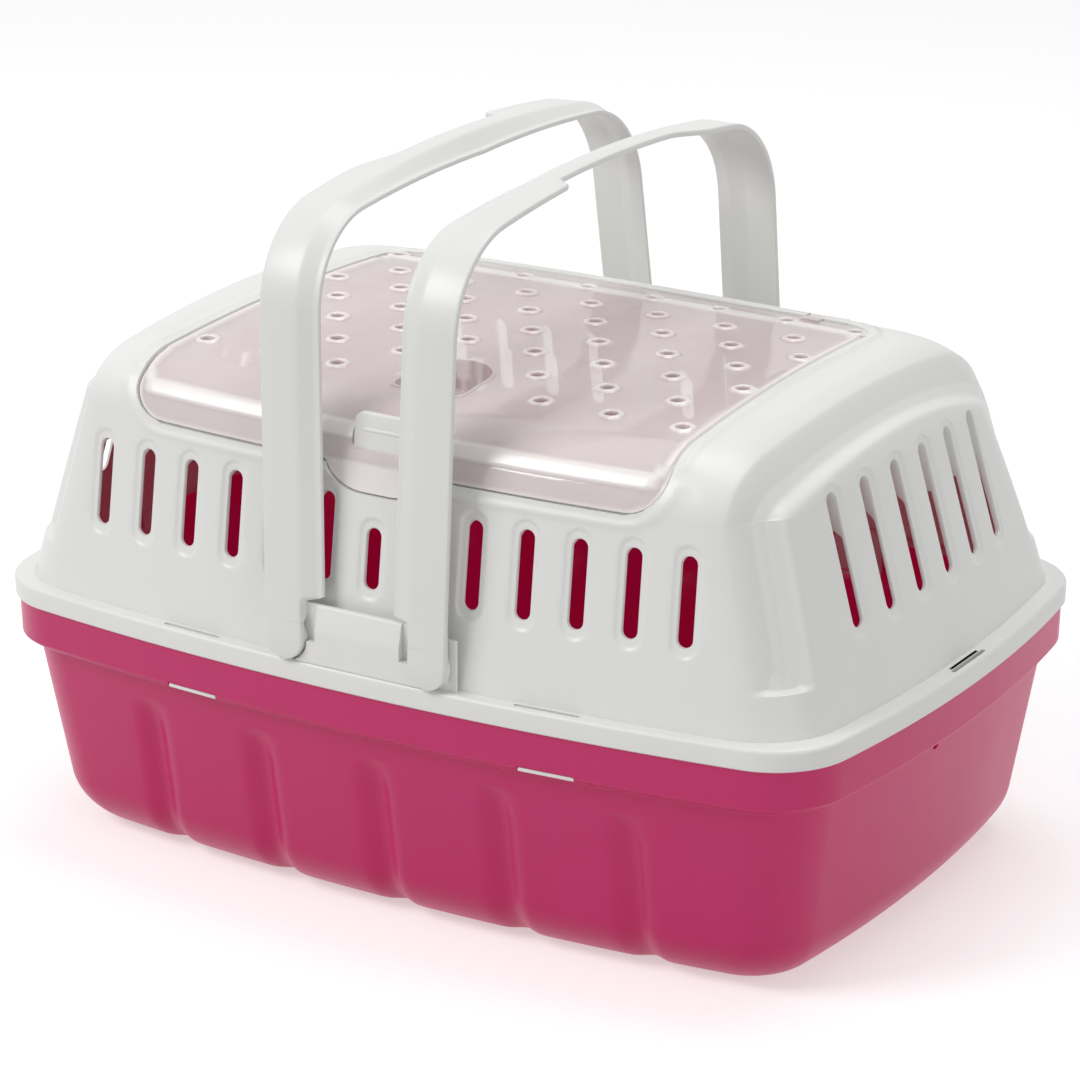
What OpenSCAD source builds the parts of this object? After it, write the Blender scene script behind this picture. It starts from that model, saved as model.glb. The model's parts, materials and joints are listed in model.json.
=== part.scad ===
// Plastic pet keeper: a small-animal carrier in two moulded halves, with a clear
// drop-in lid on the top, a lid latch and two carrying handles that fold outwards.
// X runs along the long side, the latch side faces -Y, the lid hinge is at +Y,
// and z = 0 is the underside of the tub.

/* [Rim] */
// Length over the rim
rim_length = 400; // [340:5:480]
// Width over the rim
rim_width = 274; // [240:2:330]
// Bow radius of the long sides
side_bow = 1140; // [900:20:2000]
// Bow radius of the short sides
end_bow = 650; // [500:10:1200]
// Corner radius of the rim
rim_corner = 35; // [25:1:45]
// Height of the rim's outer face
rim_face = 8; // [6:0.5:12]
// Thickness of the mouldings
wall = 2.5; // [2:0.1:3]

/* [Tub] */
// Height of the tub up to the rim
tub_height = 103; // [85:1:130]
// Height of the stiffening band below the rim
band_height = 16; // [12:1:22]
// Set-back of the band from the rim's outer face
band_inset = 1.5; // [1:0.5:3]
// Width of the step under the band
band_step = 7; // [5:0.5:9]
// Inward lean of the tub wall for each millimetre of height
tub_draft = 0.16; // [0.1:0.01:0.22]
// Radius between the tub's wall and its floor
floor_radius = 22; // [15:1:28]
// Distance between the upright flutes
flute_pitch = 56; // [48:1:62]
// Width of a flute
flute_width = 17; // [12:1:22]
// Depth of a flute
flute_depth = 3.5; // [2:0.5:5]
// Top of the flutes below the rim
flute_top = 31; // [26:1:40]

/* [Upper shell] */
// Width of the rim's ledge on the long sides
side_ledge = 5.5; // [4.5:0.5:8]
// Width of the rim's ledge at the ends
end_ledge = 8; // [6:0.5:12]
// Inward lean of the long walls for each millimetre of height
side_draft = 0.14; // [0.1:0.01:0.18]
// Inward lean of the end walls for each millimetre of height
end_draft = 0.29; // [0.2:0.01:0.34]
// Height of the shell's crown above the rim
crown_height = 115; // [100:1:130]
// Radius of the crown across the carrier
crown_radius = 1040; // [700:20:2000]
// Radius of the shoulder between the long walls and the crown
side_shoulder = 26; // [18:1:32]
// Radius of the shoulder behind the lid
rear_shoulder = 48; // [30:1:54]
// Radius of the shoulder between the end walls and the crown
end_shoulder = 34; // [24:1:40]
// Thickness of the shoulder and crown round the lid
seat_thickness = 5.5; // [5:0.1:7]
// Distance of the end grooves from the end faces
groove_inset = 16; // [13:1:19]
// Width of the end grooves
groove_width = 17; // [12:1:20]
// Depth of the end grooves
groove_depth = 4.5; // [2:0.5:5]
// Height above the rim at which the grooves start
groove_start = 26; // [20:1:40]

/* [Ventilation slots] */
// Slots in each long wall
side_slots = 13; // [9:2:13]
// Distance between the slots of a long wall
side_pitch = 22.5; // [20:0.5:23]
// Height of a slot's lower end above the rim
slot_low = 37; // [34:1:44]
// Height of a long wall's slot
side_slot_height = 41; // [30:1:44]
// Height taken off the middle slot, under the latch
middle_slot_short = 16; // [0:1:20]
// Slots in each end wall
end_slots = 6; // [4:1:6]
// Distance between the slots of an end wall
end_pitch = 24; // [20:0.5:25]
// Height of an end wall's slot
end_slot_height = 57; // [40:1:60]
// Width of every slot
slot_width = 6.3; // [5:0.1:8]

/* [Rim clips] */
// Distance of the long sides' clips from the middle
clip_offset = 83; // [70:1:95]
// Length of a clip
clip_length = 24; // [18:1:28]
// Thickness of a clip
clip_thickness = 2; // [1.6:0.1:2.2]
// Length of the window in the ledge above a clip
window_length = 28; // [27:1:32]
// Clearance between a clip and the band
clip_gap = 0.4; // [0.3:0.1:0.6]

/* [Lid] */
// Width of the lid at its front edge
lid_front_width = 244; // [200:2:250]
// Width of the lid at its rear edge
lid_back_width = 232; // [200:2:236]
// Drop of the lid's tongue below its front edge
tongue_drop = 10; // [6:1:12]
// Corner radius of the lid
lid_corner = 16; // [10:1:22]
// Thickness of the lid
lid_thickness = 2.2; // [1.8:0.1:2.6]
// Gap round the lid
lid_gap = 0.8; // [0.6:0.1:1.2]
// Rows of air holes
hole_rows = 7; // [4:1:7]
// Distance between the rows of air holes
row_pitch = 23.6; // [20:0.1:24]
// Distance between the air holes of a row
hole_pitch = 31.5; // [28:0.5:32]
// Diameter of an air hole
hole_size = 5.3; // [4:0.1:7]
// Width of the finger scoop
scoop_width = 32; // [26:1:36]
// Length of the finger scoop
scoop_length = 36; // [30:1:40]
// Depth of the finger scoop
scoop_depth = 14; // [10:1:18]
// Distance of the scoop's middle in front of the carrier's middle
scoop_front = 68; // [62:1:72]
// Radius of the lid's hinge pins
hinge_pin_r = 1.5; // [1.2:0.1:1.8]
// Length of a hinge pin
hinge_pin_length = 6; // [4:0.5:8]

/* [Latch] */
// Width of the latch
latch_width = 27; // [22:1:30]
// Height of the latch
latch_height = 29; // [22:0.5:30]
// Radius of the latch's upper corners
latch_corner = 3.5; // [2:0.5:6]
// Thickness of the latch
latch_thickness = 2.4; // [2:0.1:3]
// Gap round the latch
latch_gap = 0.6; // [0.4:0.1:1]

/* [Handles] */
// Distance of the handle pivots from the middle
pivot_offset = 33; // [30:0.5:36]
// Height of the handle pivots above the rim
pivot_height = 18; // [17:0.5:22]
// Distance that a leg's outer face stands out past the rim, at its foot
leg_stand = 1.6; // [1:0.1:3]
// Inward lean of the legs for each millimetre of height
leg_lean = 0.09; // [0.04:0.01:0.1]
// Height of the handles' crown above the rim
handle_top = 190.5; // [180:0.5:215]
// Radius of the handle's crown
handle_crown = 700; // [500:20:1200]
// Radius of the handle's shoulders
handle_shoulder = 43; // [35:1:50]
// Width of the handle's outer flange
flange_width = 17; // [14:0.5:18]
// Depth of the legs' section
leg_depth = 5.2; // [5:0.1:6]
// Depth of the handle's section at the grip
grip_depth = 8; // [6:0.5:10]
// Thickness of the handle's web and flanges
handle_wall = 2.4; // [2:0.1:2.8]
// Width of the inner flange, towards the carrier's middle
inner_flange = 8.5; // [5:0.5:9]
// Half length of the grip where the outer flange is narrower
grip_half = 44; // [35:1:55]
// Width of the outer flange at the grip
grip_flange = 10; // [9:0.5:12]
// Outward tilt of the left handle as it stands
left_tilt = 3.4; // [0:0.1:6]
// Inward tilt of the right handle as it stands
right_tilt = 0.7; // [0:0.1:3]
// Radius of a pivot stub
stub_r = 4; // [3:0.1:4.5]
// Radial clearance of a pivot stub
stub_fit = 0.06; // [0.02:0.01:0.09]
// Radius of the head that holds a stub in its bore
head_r = 5.4; // [5:0.1:6]

/* [Hidden] */
$fn = 48;

shell_white = [0.90, 0.90, 0.89];
tub_pink = [0.72, 0.18, 0.42];
lid_clear = [0.88, 0.84, 0.85, 0.45];
half_l = rim_length / 2;
half_w = rim_width / 2;
leg_reach = half_w + leg_stand;
face_gap = 0.3;
ledge_top = rim_face + 1;
slack = 0.02;

// A bowed rectangle with round corners, as one quarter from the middle of the long side
// to the middle of the short side. The long side has its points at the given x places.
function corner_centre(a, b, ra, rb, rc) =
    let (c1 = [0, b - ra], c2 = [a - rb, 0], r1 = ra - rc, r2 = rb - rc,
         d = norm(c2 - c1), t = (r1 * r1 - r2 * r2 + d * d) / (2 * d),
         h = sqrt(r1 * r1 - t * t), e = (c2 - c1) / d)
    c1 + t * e + h * [e[1], -e[0]];

function quarter(a, b, rc, xs, n_arc, n_end) =
    let (f = corner_centre(a, b, side_bow, end_bow, rc),
         t1 = atan2(f[1] - b + side_bow, f[0]), t2 = atan2(f[1], f[0] - a + end_bow))
    concat([for (x = xs) [x, b - side_bow + sqrt(side_bow * side_bow - x * x)]],
           [for (i = [0:n_arc]) let (t = t1 + (t2 - t1) * i / n_arc) f + rc * [cos(t), sin(t)]],
           [for (i = [1:n_end]) let (t = t2 * (1 - i / n_end))
               [a - end_bow + end_bow * cos(t), end_bow * sin(t)]]);

// The whole outline from its quarter, anticlockwise from the middle of the back
function round_trip(q) =
    let (n = len(q))
    concat([for (i = [0:n - 1]) [-q[i][0], q[i][1]]],
           [for (i = [n - 2:-1:0]) [-q[i][0], -q[i][1]]],
           [for (i = [1:n - 1]) [q[i][0], -q[i][1]]],
           [for (i = [n - 2:-1:1]) q[i]]);

function outline(a, b, rc, xs, n_arc = 8, n_end = 3) = round_trip(quarter(a, b, rc, xs, n_arc, n_end));

// A solid between rings with the same number of points, closed at both ends
module loft(rings) {
    n = len(rings[0]);
    m = len(rings);
    faces = concat(
        [[for (i = [0:n - 1]) i]],
        [for (k = [0:m - 2], i = [0:n - 1]) let (j = (i + 1) % n) [k * n + i, (k + 1) * n + i, (k + 1) * n + j]],
        [for (k = [0:m - 2], i = [0:n - 1]) let (j = (i + 1) % n) [k * n + i, (k + 1) * n + j, k * n + j]],
        [[for (i = [n - 1:-1:0]) (m - 1) * n + i]]);
    polyhedron(points = [for (r = rings, p = r) p], faces = faces);
}

// The same, closed round: the last ring joins the first, so the middle stays open
module loft_round(rings) {
    n = len(rings[0]);
    m = len(rings);
    faces = concat(
        [for (k = [0:m - 1], i = [0:n - 1]) let (j = (i + 1) % n, l = (k + 1) % m) [k * n + i, l * n + i, l * n + j]],
        [for (k = [0:m - 1], i = [0:n - 1]) let (j = (i + 1) % n, l = (k + 1) % m) [k * n + i, l * n + j, k * n + j]]);
    polyhedron(points = [for (r = rings, p = r) p], faces = faces);
}

// A straight line that leans in, a fillet and a crown arc, as the half of a section:
// the side lies at `side` at height z0, leans in by `lean`, and the crown tops out at `top`
function fillet_centre(side, lean, z0, top, crown, r) =
    let (c0 = top - crown, s = sqrt(1 + lean * lean),
         a = side + lean * z0 - r * s - lean * c0,
         u = (a * lean + sqrt(a * a * lean * lean
              - (1 + lean * lean) * (a * a - pow(crown - r, 2)))) / (1 + lean * lean))
    [a - lean * u, c0 + u];
function fillet_start(lean) = atan(lean);
function fillet_end(f, top, crown) = atan2(f[1] - top + crown, f[0]);

/* The tub */

flute_places = [for (i = [-2:2]) i * flute_pitch];
flute_steps = [-0.5, -0.25, 0, 0.25, 0.5] * flute_width;
tub_xs = concat([0, 0.25, 0.5] * flute_width,
                [for (i = [1:2], s = flute_steps) i * flute_pitch + s]);
function flute_at(x) =
    let (d = min([for (p = flute_places) abs(abs(x) - abs(p))]))
    d < flute_width / 2 ? (1 + cos(360 * d / flute_width)) / 2 : 0;
function flute_fade(depth) = depth < flute_top ? 0
    : depth < flute_top + 14 ? sqrt((depth - flute_top) / 14) : 1;

// Set-back of the tub's outer face from the rim at a depth below the rim
band_foot = band_height + 5;
function tub_set_back(depth) =
    depth <= band_height ? band_inset
    : depth <= band_foot ? band_inset + band_step * (depth - band_height) / 5
    : let (up = tub_height - depth)
      band_inset + band_step + tub_draft * (depth - band_foot)
      + (up < floor_radius ? floor_radius - sqrt(max(0, pow(floor_radius, 2) - pow(floor_radius - up, 2))) : 0);

function tub_ring(depth, thick, lift) =
    let (s = tub_set_back(depth) + thick, a = half_l - s, b = half_w - s,
         rc = max(rim_corner - s * 0.4, 12), fade = flute_depth * flute_fade(depth))
    [for (p = outline(a, b, rc, tub_xs))
        [p[0], p[1] - sign(p[1]) * (abs(p[0]) < a - rc ? fade * flute_at(p[0]) : 0),
         tub_height - depth + lift]];

tub_depths = [0, band_height, band_foot, flute_top, flute_top + 5, flute_top + 14, 62,
              tub_height - floor_radius, tub_height - 12, tub_height - 6, tub_height - 2, tub_height];

module base_tub() color(tub_pink) {
    difference() {
        loft(concat([for (i = [len(tub_depths) - 1:-1:0]) tub_ring(tub_depths[i], 0, 0)],
                    [for (d = tub_depths) tub_ring(d, wall, min(wall, d))]));
        clip_places() clip_slit();
    }
}

/* Rim clips: hooks of the upper shell that snap into slits in the tub's band */

hook_face = half_w - band_inset - wall - clip_gap;
module clip_places() {
    for (x = [-1, 1] * clip_offset, turn = [0, 180]) {
        rotate([0, 0, turn]) translate([x, bow_drop(clip_offset, side_bow) - half_w, tub_height])
            rotate([0, 0, asin(x / side_bow)]) translate([0, half_w, 0]) children();
    }
    for (turn = [90, 270]) rotate([0, 0, turn]) translate([0, half_w - half_l, tub_height]) children();
}
function bow_drop(x, r) = r - sqrt(r * r - x * x);
module clip_slit() {
    translate([-clip_length / 2 - clip_gap, -half_w - 1, -band_height - 2])
        cube([clip_length + 2 * clip_gap, band_inset + band_step + wall + 1, 2.4]);
    translate([-clip_length / 2 - clip_gap, -hook_face - clip_gap + 0.05, -band_height - 2])
        cube([clip_length + 2 * clip_gap, clip_thickness + 2 * clip_gap, 6]);
}
module clip_hook() {
    translate([-clip_length / 2, -hook_face, -band_height - 1.6])
        cube([clip_length, clip_thickness, band_height + rim_face + 1]);
    translate([-clip_length / 2, -half_w + band_inset + 0.8, -band_height - 1.6])
        cube([clip_length, half_w - band_inset - 0.8 - hook_face + clip_thickness, 1.6]);
}
module clip_window() {
    translate([-window_length / 2, -half_w + 1.5 + slack, rim_face - wall - 1])
        cube([window_length, half_w - 1.5 - hook_face - 2 * slack, wall + 4]);
}

/* Upper shell */

wall_side = half_w - side_ledge;
wall_end = half_l - end_ledge;
side_f = fillet_centre(wall_side, side_draft, ledge_top, crown_height, crown_radius, side_shoulder);
end_crown = 4000;
end_f = fillet_centre(wall_end, end_draft, ledge_top, crown_height, end_crown, end_shoulder);
side_t0 = fillet_start(side_draft);
side_t1 = fillet_end(side_f, crown_height, crown_radius);
end_t0 = fillet_start(end_draft);
end_t1 = fillet_end(end_f, crown_height, end_crown);
side_z1 = side_f[1] + side_shoulder * sin(side_t0);
rear_f = fillet_centre(wall_side, side_draft, ledge_top, crown_height, crown_radius, rear_shoulder);
rear_t1 = fillet_end(rear_f, crown_height, crown_radius);
rear_z1 = rear_f[1] + rear_shoulder * sin(side_t0);
end_z1 = end_f[1] + end_shoulder * sin(end_t0);

// Height of the crown over a place in plan
function crown_z(y) = crown_height - crown_radius + sqrt(crown_radius * crown_radius - y * y);

// Level v runs 0 to 1 up the walls, 1 to 2 round the shoulders and 2 to 3 across the crown.
// Each gives the half length, the half width and the heights at the end and at the side.
opening_front = 93;
opening_rear = 70;
opening_half = 111;
function level(v) =
    v <= 1 ? [wall_end - end_draft * (end_z1 - ledge_top) * v, wall_side - side_draft * (side_z1 - ledge_top) * v,
              ledge_top + (end_z1 - ledge_top) * v, ledge_top + (side_z1 - ledge_top) * v, 0]
    : v <= 2 ? let (te = end_t0 + (end_t1 - end_t0) * (v - 1), ts = side_t0 + (side_t1 - side_t0) * (v - 1))
        [end_f[0] + end_shoulder * cos(te), side_f[0] + side_shoulder * cos(ts),
         end_f[1] + end_shoulder * sin(te), side_f[1] + side_shoulder * sin(ts), ts]
    : let (a2 = level(2), w = v - 2)
        [a2[0] + (opening_half - a2[0]) * w, a2[1] + (opening_front - a2[1]) * w, -1, -1, 90];

// The same for the rear half: half width, height and tilt
function rear_level(v) =
    v <= 1 ? [wall_side - side_draft * (rear_z1 - ledge_top) * v, ledge_top + (rear_z1 - ledge_top) * v, 0]
    : v <= 2 ? let (t = side_t0 + (rear_t1 - side_t0) * (v - 1))
        [rear_f[0] + rear_shoulder * cos(t), rear_f[1] + rear_shoulder * sin(t), t]
    : let (b2 = rear_level(2)[0]) [b2 + (opening_rear - b2) * (v - 2), -1, 90];

function groove_dip(x, z) =
    let (place = wall_end - groove_inset - end_draft * (min(z, end_z1) - ledge_top) * 0.9,
         d = abs(abs(x) - place) / (groove_width / 2),
         fade = max(0, min(1, (z - groove_start) / 8)))
    d < 1 ? groove_depth * (1 - d) * fade : 0;

shell_steps = [0, 0.2, 0.4, 0.6, 0.8, 0.98];
function shell_outline(a, b, rc) =
    outline(a, b, rc, shell_steps * corner_centre(a, b, side_bow, end_bow, rc)[0], 9, 3);
function shell_ring(v, thick) =
    let (l = level(v), rear = rear_level(v), tilt = l[4], a = l[0], b = l[1] - thick * cos(tilt),
         stretch = (rear[0] - thick * cos(rear[2])) / b, rc = max(rim_corner - 6 * v, 14))
    [for (p = shell_outline(a - thick * cos(tilt), b, max(rc - thick, 6)))
        let (w = pow(min(1, max(0, (abs(p[0]) - (a - rc)) / rc)), 2) * (1 - pow(abs(p[1]) / l[1], 6)),
             y = p[1] > 0 ? p[1] * stretch : p[1], side_z = p[1] > 0 ? rear[1] : l[3],
             z = v > 2 ? crown_z(y)
                 : side_z + (l[2] - side_z) * w - (crown_height - crown_z(y)) * w * max(0, v - 1),
             dip = groove_dip(p[0], z), r = norm([p[0], y]))
        [p[0] - p[0] / r * dip * cos(tilt), y - y / r * dip * cos(tilt),
         tub_height + z - thick * sin(tilt) - dip * sin(tilt)]];
function flat_ring(inset_end, inset_side, rc, z) =
    [for (p = shell_outline(half_l - inset_end, half_w - inset_side, rc)) [p[0], p[1], tub_height + z]];

shell_levels = [0, 0.3, 0.5, 0.8, 0.84, 1, 1.25, 1.5, 1.75, 2, 2.3, 3];
function shell_thick(v) = v <= 0.8 ? wall : seat_thickness;

module shell_skin() {
    loft_round(concat(
        [for (i = [len(shell_levels) - 1:-1:0]) shell_ring(shell_levels[i], shell_thick(shell_levels[i]))],
        [flat_ring(end_ledge + wall, side_ledge + wall, rim_corner - wall, rim_face + 1 - wall),
         flat_ring(wall, wall, rim_corner - wall, rim_face + 1 - wall),
         flat_ring(wall, wall, rim_corner - wall, 0),
         flat_ring(0, 0, rim_corner, 0),
         flat_ring(0, 0, rim_corner, rim_face),
         flat_ring(1, 1, rim_corner - 1, ledge_top)],
        [for (v = shell_levels) shell_ring(v, 0)]));
}

module capsule(width, height) {
    r = width / 2;
    polygon(concat([for (t = [180:22.5:360]) [r * cos(t), r + r * sin(t)]],
                   [for (t = [0:22.5:180]) [r * cos(t), height - r + r * sin(t)]]));
}

module side_slot_cuts() {
    for (i = [0:side_slots - 1]) {
        k = i - (side_slots - 1) / 2;
        high = side_slot_height - (k == 0 ? middle_slot_short : 0);
        translate([k * side_pitch, rim_width, tub_height + slot_low]) rotate([90, 0, 0])
            linear_extrude(2 * rim_width) capsule(slot_width, high);
    }
}
module end_slot_cuts() {
    for (i = [0:end_slots - 1]) {
        k = i - (end_slots - 1) / 2;
        translate([-rim_length, k * end_pitch, tub_height + slot_low]) rotate([90, 0, 90])
            linear_extrude(2 * rim_length) capsule(slot_width, end_slot_height);
    }
}

// The shell's outer surface at x = 0, as [y, z, angle of its normal], over the lid's
// place: 0 to 1 is the front shoulder and 1 to 2 the crown up to the rear shoulder
crown_front = -(side_f[0] + side_shoulder * cos(side_t1));
crown_rear = rear_f[0] + rear_shoulder * cos(rear_t1);
function skin_line(s) =
    s <= 1 ? let (t = side_t0 + (side_t1 - side_t0) * s)
        [-side_f[0] - side_shoulder * cos(t), side_f[1] + side_shoulder * sin(t), 180 - t]
    : let (y = crown_front + (crown_rear - crown_front) * (s - 1)) [y, crown_z(y), 90 - asin(y / crown_radius)];

// The lid's patch of that surface: `grow` widens it, `up` and `down` set its two faces
lid_columns = 10;
lid_stations = concat([for (i = [0:4]) i / 5], [for (i = [0:8]) 1 + i / 9], [1.95, 1.98, 2]);
function lid_run(s) = min(s, 1) * side_shoulder * 1.35 + max(0, s - 1) * (crown_rear - crown_front);
function lid_half(s, grow) =
    let (u = lid_run(s) / lid_run(2), e = min(lid_run(s), lid_run(2) - lid_run(s)), r = lid_corner)
    (lid_front_width + (lid_back_width - lid_front_width) * u) / 2 + grow
    - (e < r ? r - sqrt(r * r - pow(r - e, 2)) : 0);
function lid_point(s, x, off, grow) =
    let (q = skin_line(s), c = cos(q[2]), n = sin(q[2]),
         shift = s <= 0 ? -grow : s >= 2 ? grow : 0,
         pull = -sign(q[0]) * bow_drop(x, side_bow) * min(1, pow(abs(q[0]) / side_f[0], 2)),
         z = s > 1 ? crown_z(q[0] + pull) : q[1])
    [x, q[0] + pull + c * off + n * shift, tub_height + z + n * off - c * shift];
module lid_patch(grow, up, down) {
    loft([for (s = lid_stations) let (h = lid_half(s, grow))
        concat([for (i = [0:lid_columns]) lid_point(s, h - 2 * h * i / lid_columns, -down, grow)],
               [for (i = [lid_columns:-1:0]) lid_point(s, h - 2 * h * i / lid_columns, up, grow)])]);
}
// The tongue below the lid's front edge, on the plane of the front wall
module lid_tongue(grow, up, down) {
    z0 = tub_height + side_z1 - tongue_drop - grow;
    z1 = tub_height + side_z1 + 1;
    y0 = -wall_side + side_draft * (z0 - tub_height - ledge_top);
    y1 = -wall_side + side_draft * (z1 - tub_height - ledge_top);
    w = latch_width / 2 - 1 + grow;
    intersection() {
        rotate([90, 0, 90]) translate([0, 0, -rim_length / 4]) linear_extrude(rim_length / 2)
            polygon([[y0 - up, z0], [y0 + down, z0], [y1 + down, z1], [y1 - up, z1]]);
        translate([0, 0, z0]) rotate([90, 0, 0]) linear_extrude(rim_width)
            polygon([[-w, 0], [w, 0], [w + 4, 1], [w + 14, tongue_drop - 2], [w + 16, tongue_drop + 3 + grow],
                     [-w - 16, tongue_drop + 3 + grow], [-w - 14, tongue_drop - 2], [-w - 4, 1]]);
    }
}
seat_gap = 0.6;
// Lid hinge: pins on the lid's knuckles turn in ears let into the shell behind the lid
ear_radius = hinge_pin_r + 1.3;
hinge_back = 5;
hinge_tilt = 90 - asin(crown_rear / crown_radius);
hinge_y = crown_rear + hinge_back * sin(hinge_tilt) - (ear_radius + 0.2) * cos(hinge_tilt);
hinge_z = tub_height + crown_z(crown_rear) - hinge_back * cos(hinge_tilt) - (ear_radius + 0.2) * sin(hinge_tilt);
knuckle_x = lid_back_width / 2 - 31;
knuckle_width = 8;
ear_x = knuckle_x + knuckle_width / 2 + face_gap;
ear_width = hinge_pin_length + 2;
pocket_gap = 0.15;
pin_fit = 0.06;
module ear_shape(width, extra) {
    rotate([90, 0, 90]) linear_extrude(width) {
        circle(ear_radius + extra);
        translate([-ear_radius - extra, -ear_radius - 2 - extra])
            square([2 * ear_radius + 2 * extra, ear_radius + 2 + extra]);
    }
}
module at_ears(extra) {
    for (turn = [0, 1]) mirror([turn, 0, 0])
        translate([ear_x - extra, hinge_y, hinge_z]) rotate([hinge_tilt - 90, 0, 0]) children();
}
module lid_hinge_ears() color(shell_white) {
    at_ears(0) difference() {
        ear_shape(ear_width, 0);
        translate([-1, 0, 0]) rotate([0, 90, 0]) cylinder(r = hinge_pin_r + pin_fit, h = ear_width + 2);
    }
}
module ear_pockets() {
    at_ears(pocket_gap) rotate([90, 0, 90]) linear_extrude(ear_width + 2 * pocket_gap)
        translate([-ear_radius - pocket_gap, -10]) square([2 * ear_radius + 2 * pocket_gap, 20]);
}
// Room for the knuckles and their arms
module knuckle_room() {
    for (turn = [0, 1]) mirror([turn, 0, 0])
        translate([knuckle_x - knuckle_width / 2 - face_gap, hinge_y, hinge_z]) rotate([hinge_tilt - 90, 0, 0])
            translate([0, -hinge_back - 3, -10])
                cube([knuckle_width + 2 * face_gap, hinge_back + 3 + ear_radius + 0.6, 20]);
}

// The rim's outer face sets the shell's length and width
module upper_shell() color(shell_white) resize([rim_length, rim_width, 0]) {
    difference() {
        shell_skin();
        side_slot_cuts();
        end_slot_cuts();
        lid_patch(lid_gap, 12, lid_thickness + seat_gap);
        lid_tongue(lid_gap, 6, lid_thickness + seat_gap + 0.4);
        ear_pockets();
        knuckle_room();
        latch_window();
        clip_places() clip_window();
        stub_holes();
    }
    clip_places() clip_hook();
}

/* Handle seats: the steps on the ledge that the handles' feet turn in */

seat_back = wall_side + pocket_gap;
seat_plate = 1.5;
seat_height = 24;
foot_r = flange_width / 2;
module handle_seat() {
    z0 = tub_height + ledge_top;
    front = half_w - 0.6;
    difference() {
        union() {
            translate([-pivot_offset - foot_r - 2, -seat_back - seat_plate, z0])
                cube([2 * (pivot_offset + foot_r + 2), seat_plate, seat_height - 3]);
            rotate([90, 0, 90]) translate([0, 0, -pivot_offset + foot_r / 2])
                linear_extrude(2 * pivot_offset - foot_r)
                polygon([[-seat_back, z0], [-front, z0], [-front, z0 + seat_height - 10],
                         [-front + 2.2, z0 + seat_height], [-seat_back, z0 + seat_height]]);
            for (x = [-1, 1] * pivot_offset) translate([x, -seat_back, tub_height + pivot_height])
                rotate([-90, 0, 0]) cylinder(r = bush_r, h = wall + 1);
        }
        for (x = [-1, 1] * pivot_offset) translate([x, 0, tub_height + pivot_height]) rotate([90, 0, 0]) {
            translate([0, 0, seat_back + seat_plate]) cylinder(r = foot_r + 1, h = 20);
            cylinder(r = stub_r + stub_fit, h = rim_width);
        }
        for (turn = [0, 1]) mirror([turn, 0, 0])
            translate([pivot_offset - foot_r - 5, -rim_width, tub_height + pivot_height])
                cube([2 * foot_r + 7, rim_width - seat_back - seat_plate, 2 * seat_height]);
    }
}
bush_r = stub_r + 2;
module stub_holes() {
    for (x = [-1, 1] * pivot_offset)
        translate([x, rim_width, tub_height + pivot_height]) rotate([90, 0, 0])
            cylinder(r = bush_r + 0.3, h = 2 * rim_width, $fn = 24);
}
module handle_seat_front() color(shell_white) handle_seat();
module handle_seat_back() color(shell_white) rotate([0, 0, 180]) handle_seat();

/* Clear lid */

// The latch's foot, and its faces in the plane of the front wall
latch_root = side_z1 - tongue_drop + 0.9;
latch_depth = lid_thickness + seat_gap + 0.4;
function latch_point(z, depth) = [-wall_side + side_draft * (z - ledge_top) + depth, tub_height + z];
cutout_half = latch_width / 2 + latch_gap;
cutout_low = 94;
cutout_back = latch_point(latch_root + latch_height, latch_depth + latch_thickness)[0] + latch_gap;
module lid_holes() {
    first = -row_pitch * 3.5 + 6.3;
    for (r = [0:hole_rows - 1]) {
        odd = r % 2;
        n = odd ? 7 : 8;
        for (c = [0:n - 1]) {
            x = (c - (n - 1) / 2) * hole_pitch;
            y = first + r * row_pitch;
            if (norm([x, y + scoop_front]) > scoop_width / 2 + 8)
                translate([x, y, tub_height + crown_height - 20]) cylinder(d = hole_size, h = 40, $fn = 16);
        }
    }
}
module scoop_outline(extra) {
    centre_y = -scoop_front + scoop_length / 2 - scoop_width / 2;
    translate([0, centre_y]) circle(scoop_width / 2 + extra);
    translate([-scoop_width / 2 - extra, centre_y - scoop_length + scoop_width / 2 - extra])
        square([scoop_width + 2 * extra, scoop_length - scoop_width / 2 + extra]);
}
scoop_floor = tub_height + crown_height - 3 - scoop_depth;
module clear_lid() color(lid_clear) {
    resize([0, 0, 0]) lid_plate();
    lid_knuckles();
}
module lid_plate() {
    difference() {
        union() {
            lid_patch(0, 0, lid_thickness);
            lid_tongue(0, -0.06, lid_thickness - 0.1);
        }
        lid_holes();
        translate([0, 0, scoop_floor - 1]) linear_extrude(60) scoop_outline(0);
        translate([-cutout_half, -rim_width, tub_height + cutout_low])
            cube([2 * cutout_half, rim_width + cutout_back, crown_height]);
    }
    intersection() {
        difference() {
            translate([0, 0, scoop_floor]) linear_extrude(60) scoop_outline(1.8);
            translate([0, 0, scoop_floor + 1.8]) linear_extrude(60) scoop_outline(0);
        }
        lid_patch(0, 0, 22);
    }
}
module lid_knuckles() {
    top = ear_radius + 0.2;
    for (turn = [0, 1]) mirror([turn, 0, 0])
        translate([knuckle_x - knuckle_width / 2, hinge_y, hinge_z]) rotate([hinge_tilt - 90, 0, 0])
            rotate([90, 0, 90]) {
                linear_extrude(knuckle_width) {
                    circle(ear_radius);
                    polygon([[0, ear_radius], [-hinge_back - 6, ear_radius], [-hinge_back - 6, top - lid_thickness + 0.3],
                             [-hinge_back + 0.5, top - lid_thickness - 1.2], [0, -ear_radius]]);
                }
                cylinder(r = hinge_pin_r, h = knuckle_width + face_gap + hinge_pin_length);
            }
}

/* Latch: a tab of the shell that stands behind the lid's front tongue */

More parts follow.
